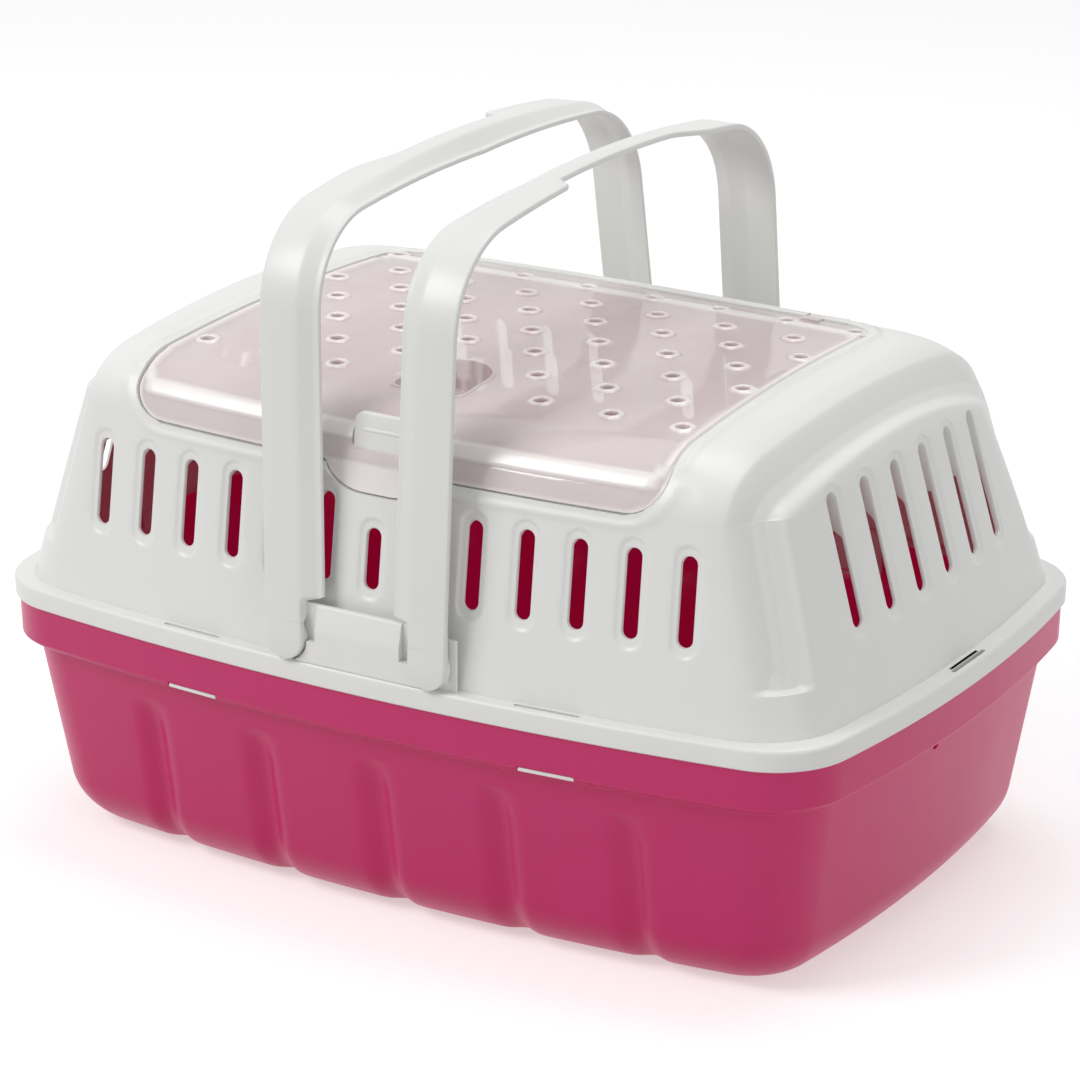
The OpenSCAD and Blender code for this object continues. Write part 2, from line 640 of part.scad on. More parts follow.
module latch_tongue() color(shell_white) {
    low = latch_root;
    high = latch_root + latch_height;
    out = latch_depth;
    in = latch_depth + latch_thickness;
    half = latch_width / 2 - latch_corner;
    intersection() {
        rotate([90, 0, 90]) translate([0, 0, -latch_width / 2]) linear_extrude(latch_width)
            polygon([latch_point(low, out), latch_point(high, out), latch_point(high, in), latch_point(low, in)]);
        translate([0, 0, tub_height]) rotate([90, 0, 0]) linear_extrude(rim_width) union() {
            translate([-latch_width / 2, low - 1]) square([latch_width, latch_height + 1 - latch_corner]);
            translate([-half, low]) square([2 * half, latch_height]);
            for (x = [-half, half]) translate([x, high - latch_corner]) circle(latch_corner);
        }
    }
}
module latch_window() {
    w = latch_width + 2 * latch_gap;
    translate([-w / 2, -half_w, tub_height + latch_root])
        cube([w, half_w + crown_front + 1, crown_height - latch_root]);
}

/* Handles */

handle_f = fillet_centre(leg_reach, leg_lean, pivot_height, handle_top, handle_crown, handle_shoulder);
handle_t0 = fillet_start(leg_lean);
handle_t1 = fillet_end(handle_f, handle_top, handle_crown);
// The outer edge of a handle as [y, z, angle of its normal], u from 0 at the foot,
// 1 and 2 at the shoulder's ends, to 3 at the middle of the grip
function handle_edge(u) =
    let (z1 = handle_f[1] + handle_shoulder * sin(handle_t0))
    u <= 1 ? let (z = pivot_height + (z1 - pivot_height) * u)
        [leg_reach - leg_lean * (z - pivot_height), z, handle_t0]
    : u <= 2 ? let (t = handle_t0 + (handle_t1 - handle_t0) * (u - 1))
        [handle_f[0] + handle_shoulder * cos(t), handle_f[1] + handle_shoulder * sin(t), t]
    : let (t = handle_t1 + (90 - handle_t1) * (u - 2))
        [handle_crown * cos(t), handle_top - handle_crown + handle_crown * sin(t), t];
handle_steps = concat([0], [for (i = [0:8]) 1 + i / 8], [for (i = [1:6]) 2 + i / 6]);
function section_depth(u) = u <= 2 ? leg_depth : leg_depth + (grip_depth - leg_depth) * (u - 2);
function handle_point(u, off, side) =
    let (q = handle_edge(u)) [side * (q[0] - off * cos(q[2])), tub_height + q[1] - off * sin(q[2])];
// A strip of the arch between two depths; a depth of -1 means the section's inner edge
function depth_of(u, d) = d >= 0 ? d : section_depth(u) + d + 1;
module arch_strip(d0, d1) {
    n = len(handle_steps) - 1;
    polygon(concat(
        [for (i = [0:n]) handle_point(handle_steps[i], depth_of(handle_steps[i], d0), -1)],
        [for (i = [n - 1:-1:0]) handle_point(handle_steps[i], depth_of(handle_steps[i], d0), 1)],
        [for (i = [0:n]) handle_point(handle_steps[i], depth_of(handle_steps[i], d1), 1)],
        [for (i = [n - 1:-1:0]) handle_point(handle_steps[i], depth_of(handle_steps[i], d1), -1)]));
}
module along_x(x0, x1) {
    rotate([90, 0, 90]) translate([0, 0, x0]) linear_extrude(x1 - x0) children();
}
foot_back = seat_back + seat_plate + face_gap;
module foot(side) {
    translate([0, side * foot_back, tub_height + pivot_height]) rotate([-90 * side, 0, 0]) {
        difference() {
            cylinder(r = foot_r, h = leg_reach - foot_back);
            translate([0, 0, -1]) cylinder(r = foot_r - handle_wall, h = leg_reach - foot_back - handle_wall + 1);
        }
        translate([0, 0, -stub_length]) cylinder(r = stub_r, h = stub_length + leg_reach - foot_back - 1);
        translate([0, 0, -stub_length]) cylinder(r = head_r, h = head_thickness);
    }
}
head_thickness = 2;
stub_length = face_gap + seat_plate + wall + 1 + face_gap + head_thickness;
// Height above the rim at which the inner flange starts
inner_flange_low = 38;
// The right handle upright, with its pivot line at x = 0
module upright_handle() {
    web = -foot_r;
    difference() {
        union() {
            along_x(web, web + handle_wall) arch_strip(0, -1);
            along_x(web, web + flange_width) arch_strip(0, handle_wall);
            along_x(web - inner_flange, web + handle_wall) arch_strip(-1 - handle_wall, -1);
        }
        translate([web + grip_flange, -grip_half, tub_height + handle_top - handle_shoulder])
            cube([flange_width, 2 * grip_half, 2 * handle_shoulder]);
        translate([web - inner_flange - 1, -rim_width, tub_height]) cube([inner_flange + 1, 2 * rim_width, inner_flange_low]);
        for (side = [-1, 1]) translate([0, side * foot_back, tub_height + pivot_height]) rotate([90 * side, 0, 0])
            cylinder(r = foot_r + 10, h = leg_reach);
    }
    for (side = [-1, 1]) foot(side);
}
module stand_handle(tilt) {
    translate([pivot_offset, 0, tub_height + pivot_height]) rotate([0, -tilt, 0])
        translate([0, 0, -tub_height - pivot_height]) upright_handle();
}
module handle_right() color(shell_white) stand_handle(right_tilt);
module handle_left() color(shell_white) rotate([0, 0, 180]) stand_handle(-left_tilt);

base_tub();
upper_shell();
lid_hinge_ears();
handle_seat_front();
handle_seat_back();
clear_lid();
latch_tongue();
handle_left();
handle_right();
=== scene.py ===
# %% [markdown]
# # A plastic pet keeper
# A small-animal carrier in two moulded halves: a pink tub, a white ventilated shell that
# snaps on its rim, a clear lid with air holes, a latch tab and two folding handles.
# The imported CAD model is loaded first. It is the fixed frame: every piece below is built
# in its coordinates and replaces one of its nodes, so nothing has to be fitted by eye.

# %% Load the frame
import json
import math

import bmesh
import bpy
import numpy as np
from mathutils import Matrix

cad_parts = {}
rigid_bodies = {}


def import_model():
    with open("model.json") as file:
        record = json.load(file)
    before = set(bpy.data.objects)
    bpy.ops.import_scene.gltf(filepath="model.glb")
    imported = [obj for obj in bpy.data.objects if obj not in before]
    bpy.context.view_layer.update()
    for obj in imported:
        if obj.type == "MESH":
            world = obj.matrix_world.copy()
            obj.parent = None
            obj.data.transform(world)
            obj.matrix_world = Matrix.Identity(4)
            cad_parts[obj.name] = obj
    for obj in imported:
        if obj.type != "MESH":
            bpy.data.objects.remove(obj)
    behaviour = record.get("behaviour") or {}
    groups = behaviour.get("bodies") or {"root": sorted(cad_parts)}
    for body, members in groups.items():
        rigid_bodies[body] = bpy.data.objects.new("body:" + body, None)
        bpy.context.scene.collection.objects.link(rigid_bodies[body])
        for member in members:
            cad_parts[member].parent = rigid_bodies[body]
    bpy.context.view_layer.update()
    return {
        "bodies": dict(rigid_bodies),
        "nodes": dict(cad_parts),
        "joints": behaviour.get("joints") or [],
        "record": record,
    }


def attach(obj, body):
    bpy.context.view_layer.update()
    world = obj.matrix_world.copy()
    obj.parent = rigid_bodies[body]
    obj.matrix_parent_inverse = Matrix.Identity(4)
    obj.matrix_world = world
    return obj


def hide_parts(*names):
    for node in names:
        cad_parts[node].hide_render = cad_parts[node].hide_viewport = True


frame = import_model()
MM = 0.001

# %% [markdown]
# ## The measures
# These are the moulded object's own sizes in millimetres. The two halves share one plan:
# a rectangle with bowed sides and round corners. The walls lean in a little, as moulded
# walls must so that they leave the mould, and round over into the crown.

# %% The measures of the mouldings
HALF_L, HALF_W = 200.0, 137.0
SIDE_BOW, END_BOW, RIM_CORNER = 1140.0, 650.0, 35.0
TUB, RIM_FACE, LEDGE = 103.0, 8.0, 9.0
WALL, SEAT_THICK = 2.5, 5.5
SIDE_LEDGE, END_LEDGE, SIDE_DRAFT, END_DRAFT = 5.5, 8.0, 0.14, 0.29
CROWN, CROWN_R, END_CROWN_R = 115.0, 1040.0, 4000.0
SIDE_SHOULDER, REAR_SHOULDER, END_SHOULDER = 26.0, 48.0, 34.0
OPEN_FRONT, OPEN_REAR, OPEN_HALF = 93.0, 70.0, 111.0
WALL_SIDE, WALL_END = HALF_W - SIDE_LEDGE, HALF_L - END_LEDGE
print("rim", 2 * HALF_L, "x", 2 * HALF_W, "mm")

# %% [markdown]
# ## The plan outline
# One quarter of the outline is three arcs: the bowed long side, the corner and the bowed
# short side. The corner arc touches both bows, so its centre lies where two circles
# cross. Every ring of the walls is this outline with other numbers, always with the same
# count of points, so that two rings can be joined point to point.

# %% The plan outline
SIDE_STEPS = np.linspace(0, 0.985, 56)
CORNER_STEPS, END_STEPS = 36, 22


def corner_centre(a, b, rc):
    c1, c2 = np.array([0, b - SIDE_BOW]), np.array([a - END_BOW, 0])
    r1, r2 = SIDE_BOW - rc, END_BOW - rc
    d = np.linalg.norm(c2 - c1)
    t = (r1 * r1 - r2 * r2 + d * d) / (2 * d)
    h = math.sqrt(r1 * r1 - t * t)
    e = (c2 - c1) / d
    return c1 + t * e + h * np.array([e[1], -e[0]])


def outline(a, b, rc, steps=SIDE_STEPS, corner=CORNER_STEPS, end=END_STEPS):
    f = corner_centre(a, b, rc)
    t1 = math.atan2(f[1] - b + SIDE_BOW, f[0])
    t2 = math.atan2(f[1], f[0] - a + END_BOW)
    xs = steps * f[0]
    t = t1 + (t2 - t1) * np.arange(corner + 1) / corner
    u = t2 * (1 - np.arange(1, end + 1) / end)
    q = np.vstack([
        np.column_stack([xs, b - SIDE_BOW + np.sqrt(SIDE_BOW**2 - xs**2)]),
        np.column_stack([f[0] + rc * np.cos(t), f[1] + rc * np.sin(t)]),
        np.column_stack([a - END_BOW + END_BOW * np.cos(u), END_BOW * np.sin(u)])])
    return np.vstack([q * [-1, 1], (q * [-1, -1])[-2::-1], (q * [1, -1])[1:], q[-2:0:-1]])


RING = len(outline(HALF_L, HALF_W, RIM_CORNER))
print("points in a ring", RING)

# %% [markdown]
# ## Making meshes
# A piece is finished when its object sits at the origin, its faces point outwards and
# every round part shades smoothly while true edges stay crisp. `finish_mesh` does that for
# all pieces. Rings are joined with quads, and closed pieces are cut and welded with the
# Boolean modifier's Manifold solver, which is fast and keeps solids watertight.

# %% Mesh helpers
def add_mesh(name, points, faces):
    mesh = bpy.data.meshes.new(name)
    mesh.from_pydata((np.asarray(points) * MM).tolist(), [], [list(map(int, f)) for f in faces])
    mesh.validate()
    piece = bpy.data.objects.new(name, mesh)
    bpy.context.scene.collection.objects.link(piece)
    return piece


def face_out(piece):
    bm = bmesh.new()
    bm.from_mesh(piece.data)
    bmesh.ops.remove_doubles(bm, verts=bm.verts, dist=1e-6)
    bmesh.ops.recalc_face_normals(bm, faces=bm.faces)
    bm.to_mesh(piece.data)
    bm.free()
    return piece


def loft(name, rings, loop=False):
    """Joins rings with quads: `loop` joins the last to the first, or both ends are capped."""
    n, m = len(rings[0]), len(rings)
    i = np.arange(n)
    j = (i + 1) % n
    faces = [np.column_stack([k * n + i, k * n + j, (k + 1) % m * n + j, (k + 1) % m * n + i])
             for k in range(m if loop else m - 1)]
    faces = np.vstack(faces).tolist()
    if not loop:
        faces += [list(range(n)), list(range((m - 1) * n, m * n))]
    return face_out(add_mesh(name, np.vstack(rings), faces))


def prism(name, loop, direction, low, high):
    """A flat loop pushed along an axis: 0 is x, 1 is y and 2 is z."""
    rings = [np.insert(np.asarray(loop, float), direction, v, axis=1) for v in (low, high)]
    return loft(name, rings)


def block(name, low, high):
    (x0, y0, z0), (x1, y1, z1) = low, high
    return prism(name, [(x0, y0), (x1, y0), (x1, y1), (x0, y1)], 2, z0, z1)


def soft_edges(piece, width, segments=2, angle=30):
    bm = bmesh.new()
    bm.from_mesh(piece.data)
    edges = [e for e in bm.edges if e.is_manifold and e.calc_face_angle(0) > math.radians(angle)]
    bmesh.ops.bevel(bm, geom=edges, offset=width * MM, segments=segments, profile=0.5,
                    affect="EDGES", clamp_overlap=True)
    bm.to_mesh(piece.data)
    bm.free()
    return piece


def plain_mesh(piece):
    """Applies the modifiers by taking the evaluated mesh."""
    graph = bpy.context.evaluated_depsgraph_get()
    mesh = bpy.data.meshes.new_from_object(piece.evaluated_get(graph), depsgraph=graph)
    piece.modifiers.clear()
    piece.data = mesh
    return piece


def combine(piece, tools, operation):
    for tool in tools:
        cut = piece.modifiers.new("cut", "BOOLEAN")
        cut.object, cut.operation, cut.solver = tool, operation, "MANIFOLD"
        plain_mesh(piece)
        bpy.data.objects.remove(tool)
    return piece


def weld(name, parts):
    """One object from several that may touch, with no cutting."""
    target = add_mesh(name, np.zeros((0, 3)), [])
    bm = bmesh.new()
    for part in parts:
        bm.from_mesh(part.data)
        bpy.data.objects.remove(part)
    bm.to_mesh(target.data)
    bm.free()
    return target


def finish_mesh(piece, sharp=34):
    bm = bmesh.new()
    bm.from_mesh(piece.data)
    bmesh.ops.dissolve_degenerate(bm, dist=2e-6, edges=bm.edges)
    bmesh.ops.triangulate(bm, faces=[f for f in bm.faces if len(f.verts) > 4])
    bm.to_mesh(piece.data)
    bm.free()
    piece.data.shade_smooth()
    piece.data.set_sharp_from_angle(angle=math.radians(sharp))
    print(piece.name, len(piece.data.polygons), "faces")
    return piece


def fillet_arc(centre, radius, start, end, count):
    t = np.radians(np.linspace(start, end, count + 1))
    return [(centre[0] + radius * math.cos(v), centre[1] + radius * math.sin(v)) for v in t]


def soft_loop(points, radius, parts=3):
    """A polygon with each corner cut round; the same count of points for any shape."""
    p = np.asarray(points, float)
    radius = np.broadcast_to(radius, len(p))
    out = []
    for k in range(len(p)):
        a, b, c = p[k - 1], p[k], p[(k + 1) % len(p)]
        u, v = a - b, c - b
        reach = min(radius[k], np.linalg.norm(u) * 0.45, np.linalg.norm(v) * 0.45)
        s, e = b + u / np.linalg.norm(u) * reach, b + v / np.linalg.norm(v) * reach
        for t in np.linspace(0, 1, parts + 1):
            out.append((1 - t)**2 * s + 2 * t * (1 - t) * b + t * t * e)
    return np.array(out)


# %% [markdown]
# ## Nodes from Python expressions
# Geometry and shader formulas are easier to read as maths than as a list of links. `Wire`
# wraps one socket, and each Python operator on it adds the Math node that does the same.
# Every other node comes from one method, `Book.add`, which takes the node's type, its
# settings and the values or wires of its sockets.

# %% Wires and the node book
class Wire:
    def __init__(self, book, socket):
        self.book, self.socket = book, socket

    def math(self, operation, *values):
        return self.book.add("ShaderNodeMath", {"operation": operation}, values)

    def __add__(self, o): return self.math("ADD", self, o)
    def __radd__(self, o): return self.math("ADD", o, self)
    def __sub__(self, o): return self.math("SUBTRACT", self, o)
    def __rsub__(self, o): return self.math("SUBTRACT", o, self)
    def __mul__(self, o): return self.math("MULTIPLY", self, o)
    def __rmul__(self, o): return self.math("MULTIPLY", o, self)
    def __truediv__(self, o): return self.math("DIVIDE", self, o)
    def __rtruediv__(self, o): return self.math("DIVIDE", o, self)
    def __pow__(self, o): return self.math("POWER", self, o)
    def __abs__(self): return self.math("ABSOLUTE", self)
    def __gt__(self, o): return self.math("GREATER_THAN", self, o)
    def __lt__(self, o): return self.math("LESS_THAN", self, o)
    def floor(self): return self.math("FLOOR", self)
    def sqrt(self): return self.math("SQRT", self)
    def cos(self): return self.math("COSINE", self)
    def asin(self): return self.math("ARCSINE", self)
    def least(self, o): return self.math("MINIMUM", self, o)
    def most(self, o): return self.math("MAXIMUM", self, o)


class Book:
    def __init__(self, tree):
        self.tree = tree

    def add(self, kind, settings=None, values=(), output=0):
        node = self.tree.nodes.new(kind)
        settings = dict(settings or {})
        stops = settings.pop("stops", None)
        for name, value in settings.items():
            setattr(node, name, value)
        if stops:
            ramp = node.color_ramp.elements
            while len(ramp) < len(stops):
                ramp.new(0.5)
            for element, (place, colour) in zip(ramp, stops):
                element.position, element.color = place, colour
        for key, value in (values.items() if isinstance(values, dict) else enumerate(values)):
            if isinstance(value, Wire):
                self.tree.links.new(value.socket, node.inputs[key])
            else:
                node.inputs[key].default_value = value
        return Wire(self, node.outputs[output])

    def pick(self, wire, output):
        return Wire(self, wire.socket.node.outputs[output])


# %% [markdown]
# ## Geometry Nodes as a small workshop
# What repeats is made once and repeated by a node tree: the slot cutters along a wall, and
# the air holes of the lid. The piece's own mesh is the thing to repeat, the tree makes the
# points, and the sizes are named inputs. Each tree ends in Realize Instances and Set
# Material, and its result is taken as a plain mesh.

# %% Building and running a tree
def repeat_tree(name, inputs, body):
    """`body` gets the book, the incoming mesh and the named inputs, and returns geometry."""
    tree = bpy.data.node_groups.new(name, "GeometryNodeTree")
    face = tree.interface
    face.new_socket("Geometry", in_out="INPUT", socket_type="NodeSocketGeometry")
    face.new_socket("Material", in_out="INPUT", socket_type="NodeSocketMaterial")
    for label in inputs:
        face.new_socket(label, in_out="INPUT", socket_type="NodeSocketFloat")
    face.new_socket("Geometry", in_out="OUTPUT", socket_type="NodeSocketGeometry")
    book = Book(tree)
    start = tree.nodes.new("NodeGroupInput")
    given = {s.name: Wire(book, s) for s in start.outputs if s.name}
    made = body(book, given["Geometry"], given)
    real = book.add("GeometryNodeRealizeInstances", {}, {"Geometry": made})
    real = book.add("GeometryNodeSetMaterial", {}, {"Geometry": real, "Material": given["Material"]})
    end = tree.nodes.new("NodeGroupOutput")
    tree.links.new(real.socket, end.inputs[0])
    return tree


def run_tree(piece, tree, material, **sizes):
    step = piece.modifiers.new(tree.name, "NODES")
    step.node_group = tree
    keys = {s.name.replace(" ", "_"): s.identifier for s in tree.interface.items_tree
            if s.in_out == "INPUT"}
    if material:
        step[keys["Material"]] = material
    for label, value in sizes.items():
        step[keys[label]] = float(value)
    return plain_mesh(piece)


# %% [markdown]
# ## Plastics
# The real surfaces are injection-moulded polypropylene: even colour, a satin gloss with a
# very fine spark-eroded grain, faint flow marks, and slightly shinier spots where hands
# and the mould's ejectors touched. Colour alone would look like paint, so each finish
# has its own grain and roughness, all read from object coordinates.

# %% Finishes
def linear(r, g, b):
    def one(v):
        v /= 255
        return v / 12.92 if v <= 0.04045 else ((v + 0.055) / 1.055)**2.4
    return (one(r), one(g), one(b), 1.0)


def new_finish(name, values, body):
    material = bpy.data.materials.new(name)
    material.use_nodes = True
    material.node_tree.nodes.clear()
    book = Book(material.node_tree)
    place = book.add("ShaderNodeTexCoord", {}, {}, output="Object")
    sockets = dict(values)
    sockets.update(body(book, place))
    shader = book.add("ShaderNodeBsdfPrincipled", {}, sockets)
    end = material.node_tree.nodes.new("ShaderNodeOutputMaterial")
    material.node_tree.links.new(shader.socket, end.inputs["Surface"])
    print("finish", name)
    return material


def noise(book, place, scale, detail=2.0):
    return book.add("ShaderNodeTexNoise", {}, {"Vector": place, "Scale": scale, "Detail": detail},
                    output=0)


def stretched(book, place, scale):
    return book.add("ShaderNodeMapping", {}, {"Vector": place, "Scale": scale})


def mix_colour(book, factor, first, second):
    return book.add("ShaderNodeMix", {"data_type": "RGBA"}, {0: factor, 6: first, 7: second},
                    output=2)


def moulded(base, shade, rough, grain):
    """Satin moulded plastic: soft colour drift, flow marks, fine grain."""
    def body(book, place):
        drift = noise(book, place, 9.0)
        flow = noise(book, stretched(book, place, (70, 70, 6)), 1.0, 1.0)
        colour = mix_colour(book, (drift * 0.6 + flow * 0.4).least(1.0), base, shade)
        fine = noise(book, place, 1900.0, 1.0)
        bump = book.add("ShaderNodeBump", {}, {"Height": fine, "Strength": grain,
                                               "Distance": 0.00012})
        wear = noise(book, place, 26.0, 3.0)
        return {"Base Color": colour, "Roughness": rough - 0.04 + wear * 0.08, "Normal": bump}
    return body


SHELL_FINISH = new_finish(
    "shell white", {"IOR": 1.49, "Specular IOR Level": 0.5, "Subsurface Weight": 0.0},
    moulded(linear(236, 236, 233), linear(230, 230, 227), 0.36, 0.18))
HANDLE_FINISH = new_finish(
    "handle white", {"IOR": 1.49},
    moulded(linear(231, 232, 229), linear(225, 226, 222), 0.33, 0.14))
# The tub's finish carries a painted glow: a constant red-magenta emission over the whole tub, inside and
# out, that stands in for light passing through its thin walls and lighting the inside.
TUB_FINISH_WITH_PAINTED_GLOW = new_finish(
    "tub magenta", {"IOR": 1.49, "Emission Color": linear(186, 0, 58), "Emission Strength": 0.24},
    moulded(linear(172, 20, 96), linear(162, 16, 90), 0.34, 0.22))


def lid_plastic(panel, frame, ripple):
    """Clear panel and milky frame in one: the attribute `frame` runs from 0 to 1. It also carries painted
    highlights, whiter and less clear, along the lid's edge and round each air hole.
    """
    def body(book, place):
        milky_frame_and_painted_glint = book.add("ShaderNodeAttribute", {"attribute_name": "frame"}, {}, output="Fac")
        wave = noise(book, stretched(book, place, (60, 14, 14)), 1.0, 1.0)
        bump = book.add("ShaderNodeBump", {}, {"Height": wave, "Strength": ripple,
                                               "Distance": 0.0006})
        haze = noise(book, place, 30.0)
        tint = mix_colour(book, haze, panel, linear(246, 234, 235))
        return {"Alpha": 0.6 + haze * 0.08 + milky_frame_and_painted_glint * 0.22, "Normal": bump,
                "Roughness": 0.06 + haze * 0.04 + milky_frame_and_painted_glint * 0.2,
                "Base Color": mix_colour(book, milky_frame_and_painted_glint, tint, frame)}
    return body


LID_FINISH = new_finish("lid clear", {"IOR": 1.55, "Specular IOR Level": 0.9},
                        lid_plastic(linear(240, 225, 228), linear(252, 246, 243), 0.3))

# %% [markdown]
# ## The tub
# The tub is one deep-drawn shape: a straight stiffening band under the rim, a rounded step
# in, leaning walls and a generous radius down to the floor. The long walls have shallow
# upright flutes that run under the floor's edge. The smooth tub is a loft of rings, and a
# node tree presses the flutes in by formula, because each is the same cosine dent.

# %% Tub rings
BAND, BAND_INSET, BAND_STEP, BAND_FOOT = 16.0, 1.5, 7.0, 21.0
TUB_DRAFT, FLOOR_R, FLUTE_TOP = 0.16, 22.0, 31.0


def tub_inset(depth):
    up = TUB - depth
    if depth <= BAND:
        return BAND_INSET + 0.4 * (depth / BAND)
    if depth <= BAND_FOOT:
        t = (depth - BAND) / (BAND_FOOT - BAND)
        return BAND_INSET + 0.4 + (BAND_STEP - 0.4) * (1 - math.cos(math.pi * t)) / 2
    s = BAND_INSET + BAND_STEP + TUB_DRAFT * (depth - BAND_FOOT)
    if up < FLOOR_R:
        s += FLOOR_R - math.sqrt(max(0, FLOOR_R**2 - (FLOOR_R - up)**2))
    return s


def tub_ring(depth, thick, lift):
    s = tub_inset(depth) + thick
    p = outline(HALF_L - s, HALF_W - s, max(RIM_CORNER - s * 0.4, 12))
    return np.column_stack([p, np.full(RING, TUB - depth + lift)])


floor_depths = [TUB - FLOOR_R * (1 - math.cos(t)) for t in np.radians(np.linspace(88, 8, 15))]
depths = np.unique(np.round(np.concatenate([
    [0, 0.6, 4, 8, 12, 15, 15.6], np.linspace(16, 21, 9), [21.6, 23, 26, 29],
    np.linspace(30, 48, 13), np.linspace(52, TUB - FLOOR_R, 9), floor_depths, [TUB]]), 3))
outer = [tub_ring(d, 0, 0) for d in depths[::-1]]
inner = [tub_ring(d, WALL, min(WALL, d * 0.98)) for d in depths[::2]]
inner.append(tub_ring(TUB, WALL + 1, WALL))
tub = loft("pet_keeper_tub", outer + inner)
print("tub rings", len(outer), len(inner))


# %% Flutes pressed in by formula
def flute_body(book, mesh, given):
    at = book.add("GeometryNodeInputPosition")
    part = book.add("ShaderNodeSeparateXYZ", {}, [at])
    x, y, z = part, book.pick(part, 1), book.pick(part, 2)
    pitch, width = given["Pitch"], given["Width"]
    near = abs(x - (x / pitch + 0.5).floor() * pitch)
    dent = ((near / width * (2 * math.pi)).cos() + 1) * 0.5 * (near < width * 0.5)
    down = ((given["Top"] - z) / given["Fade"]).most(0).least(1)
    fade = down.sqrt() * (abs(x) < pitch * 2.5)
    outside = abs(y) > given["Keep"]
    push = dent * fade * outside * given["Depth"]
    side = (y > 0) * 2 - 1
    move = book.add("ShaderNodeCombineXYZ", {}, [0.0, 0 - push * side, 0.0])
    return book.add("GeometryNodeSetPosition", {}, {"Geometry": mesh, "Offset": move})


flute_tree = repeat_tree("tub flutes", ["Pitch", "Width", "Depth", "Top", "Fade", "Keep"],
                         flute_body)
tub = run_tree(tub, flute_tree, TUB_FINISH_WITH_PAINTED_GLOW, Pitch=0.056, Width=0.019, Depth=0.0038,
               Top=(TUB - FLUTE_TOP) * MM, Fade=0.014, Keep=0.085)


# %% Slits for the clips, and the release hole at the right end
SIDE_CLIPS = [(-83, 0), (83, 0), (-83, 180), (83, 180)]
END_CLIPS = [(0, 90), (0, 270)]


def at_clips(maker, places):
    """The maker draws at the front, and its piece is set along the bow and turned."""
    made = []
    for x, degrees in places:
        part = maker()
        push = HALF_W - HALF_L if x == 0 else SIDE_BOW - math.sqrt(SIDE_BOW**2 - x * x)
        lean, turn = math.asin(x / SIDE_BOW), math.radians(degrees)
        for v in part.data.vertices:
            cx, cy = v.co.x, v.co.y + HALF_W * MM
            px = cx * math.cos(lean) - cy * math.sin(lean) + x * MM
            py = cx * math.sin(lean) + cy * math.cos(lean) + (push - HALF_W) * MM
            v.co.x = px * math.cos(turn) - py * math.sin(turn)
            v.co.y = px * math.sin(turn) + py * math.cos(turn)
        made.append(part)
    return made


combine(tub, [weld("slits", at_clips(lambda: block(
    "slit", (-12.4, -HALF_W - 1, TUB - 18), (12.4, -HALF_W + 11, TUB - 15.6)), SIDE_CLIPS))],
    "DIFFERENCE")
hole = prism("release hole", fillet_arc((-15, TUB - 21.6), 2.6, 180, 360, 10)
             + [(-12.4, TUB - 18), (-17.6, TUB - 18)], 0, 180, 205)
combine(tub, [hole], "DIFFERENCE")
finish_mesh(tub)

# %% [markdown]
# ## The upper shell
# The white half is lofted from rings as well. A level runs from 0 at the ledge to 1 at the
# top of the walls, to 2 round the shoulders and to 3 at the edge of the lid opening. Near
# each end a V-shaped groove parts the end cap from the middle. It starts at a small ledge,
# runs up the wall and over the crown, so the loft needs close points there.

# %% Section maths of the shell
def fillet_centre(side, lean, z0, top, crown, r):
    c0, s = top - crown, math.sqrt(1 + lean * lean)
    a = side + lean * z0 - r * s - lean * c0
    u = (a * lean + math.sqrt(a * a * lean * lean
         - (1 + lean * lean) * (a * a - (crown - r)**2))) / (1 + lean * lean)
    return a - lean * u, c0 + u


def fillet_end(f, top, crown):
    return math.atan2(f[1] - top + crown, f[0])


SIDE_F = fillet_centre(WALL_SIDE, SIDE_DRAFT, LEDGE, CROWN, CROWN_R, SIDE_SHOULDER)
REAR_F = fillet_centre(WALL_SIDE, SIDE_DRAFT, LEDGE, CROWN, CROWN_R, REAR_SHOULDER)
END_F = fillet_centre(WALL_END, END_DRAFT, LEDGE, CROWN, END_CROWN_R, END_SHOULDER)
SIDE_T0, END_T0 = math.atan(SIDE_DRAFT), math.atan(END_DRAFT)
SIDE_T1, REAR_T1 = fillet_end(SIDE_F, CROWN, CROWN_R), fillet_end(REAR_F, CROWN, CROWN_R)
END_T1 = fillet_end(END_F, CROWN, END_CROWN_R)
SIDE_Z1 = SIDE_F[1] + SIDE_SHOULDER * math.sin(SIDE_T0)
REAR_Z1 = REAR_F[1] + REAR_SHOULDER * math.sin(SIDE_T0)
END_Z1 = END_F[1] + END_SHOULDER * math.sin(END_T0)
CROWN_FRONT = -(SIDE_F[0] + SIDE_SHOULDER * math.cos(SIDE_T1))
CROWN_REAR = REAR_F[0] + REAR_SHOULDER * math.cos(REAR_T1)
print("wall tops", round(SIDE_Z1, 2), round(REAR_Z1, 2), round(END_Z1, 2))


def crown_z(y):
    return CROWN - CROWN_R + np.sqrt(CROWN_R**2 - np.square(y))


def level(v):
    """Half length, half width, end height, side height and tilt at a level."""
    if v <= 1:
        return (WALL_END - END_DRAFT * (END_Z1 - LEDGE) * v,
                WALL_SIDE - SIDE_DRAFT * (SIDE_Z1 - LEDGE) * v,
                LEDGE + (END_Z1 - LEDGE) * v, LEDGE + (SIDE_Z1 - LEDGE) * v, 0.0)
    if v <= 2:
        te = END_T0 + (END_T1 - END_T0) * (v - 1)
        ts = SIDE_T0 + (SIDE_T1 - SIDE_T0) * (v - 1)
        return (END_F[0] + END_SHOULDER * math.cos(te), SIDE_F[0] + SIDE_SHOULDER * math.cos(ts),
                END_F[1] + END_SHOULDER * math.sin(te), SIDE_F[1] + SIDE_SHOULDER * math.sin(ts), ts)
    a2, w = level(2), v - 2
    return (a2[0] + (OPEN_HALF - a2[0]) * w, a2[1] + (OPEN_FRONT - a2[1]) * w, -1, -1, math.pi / 2)


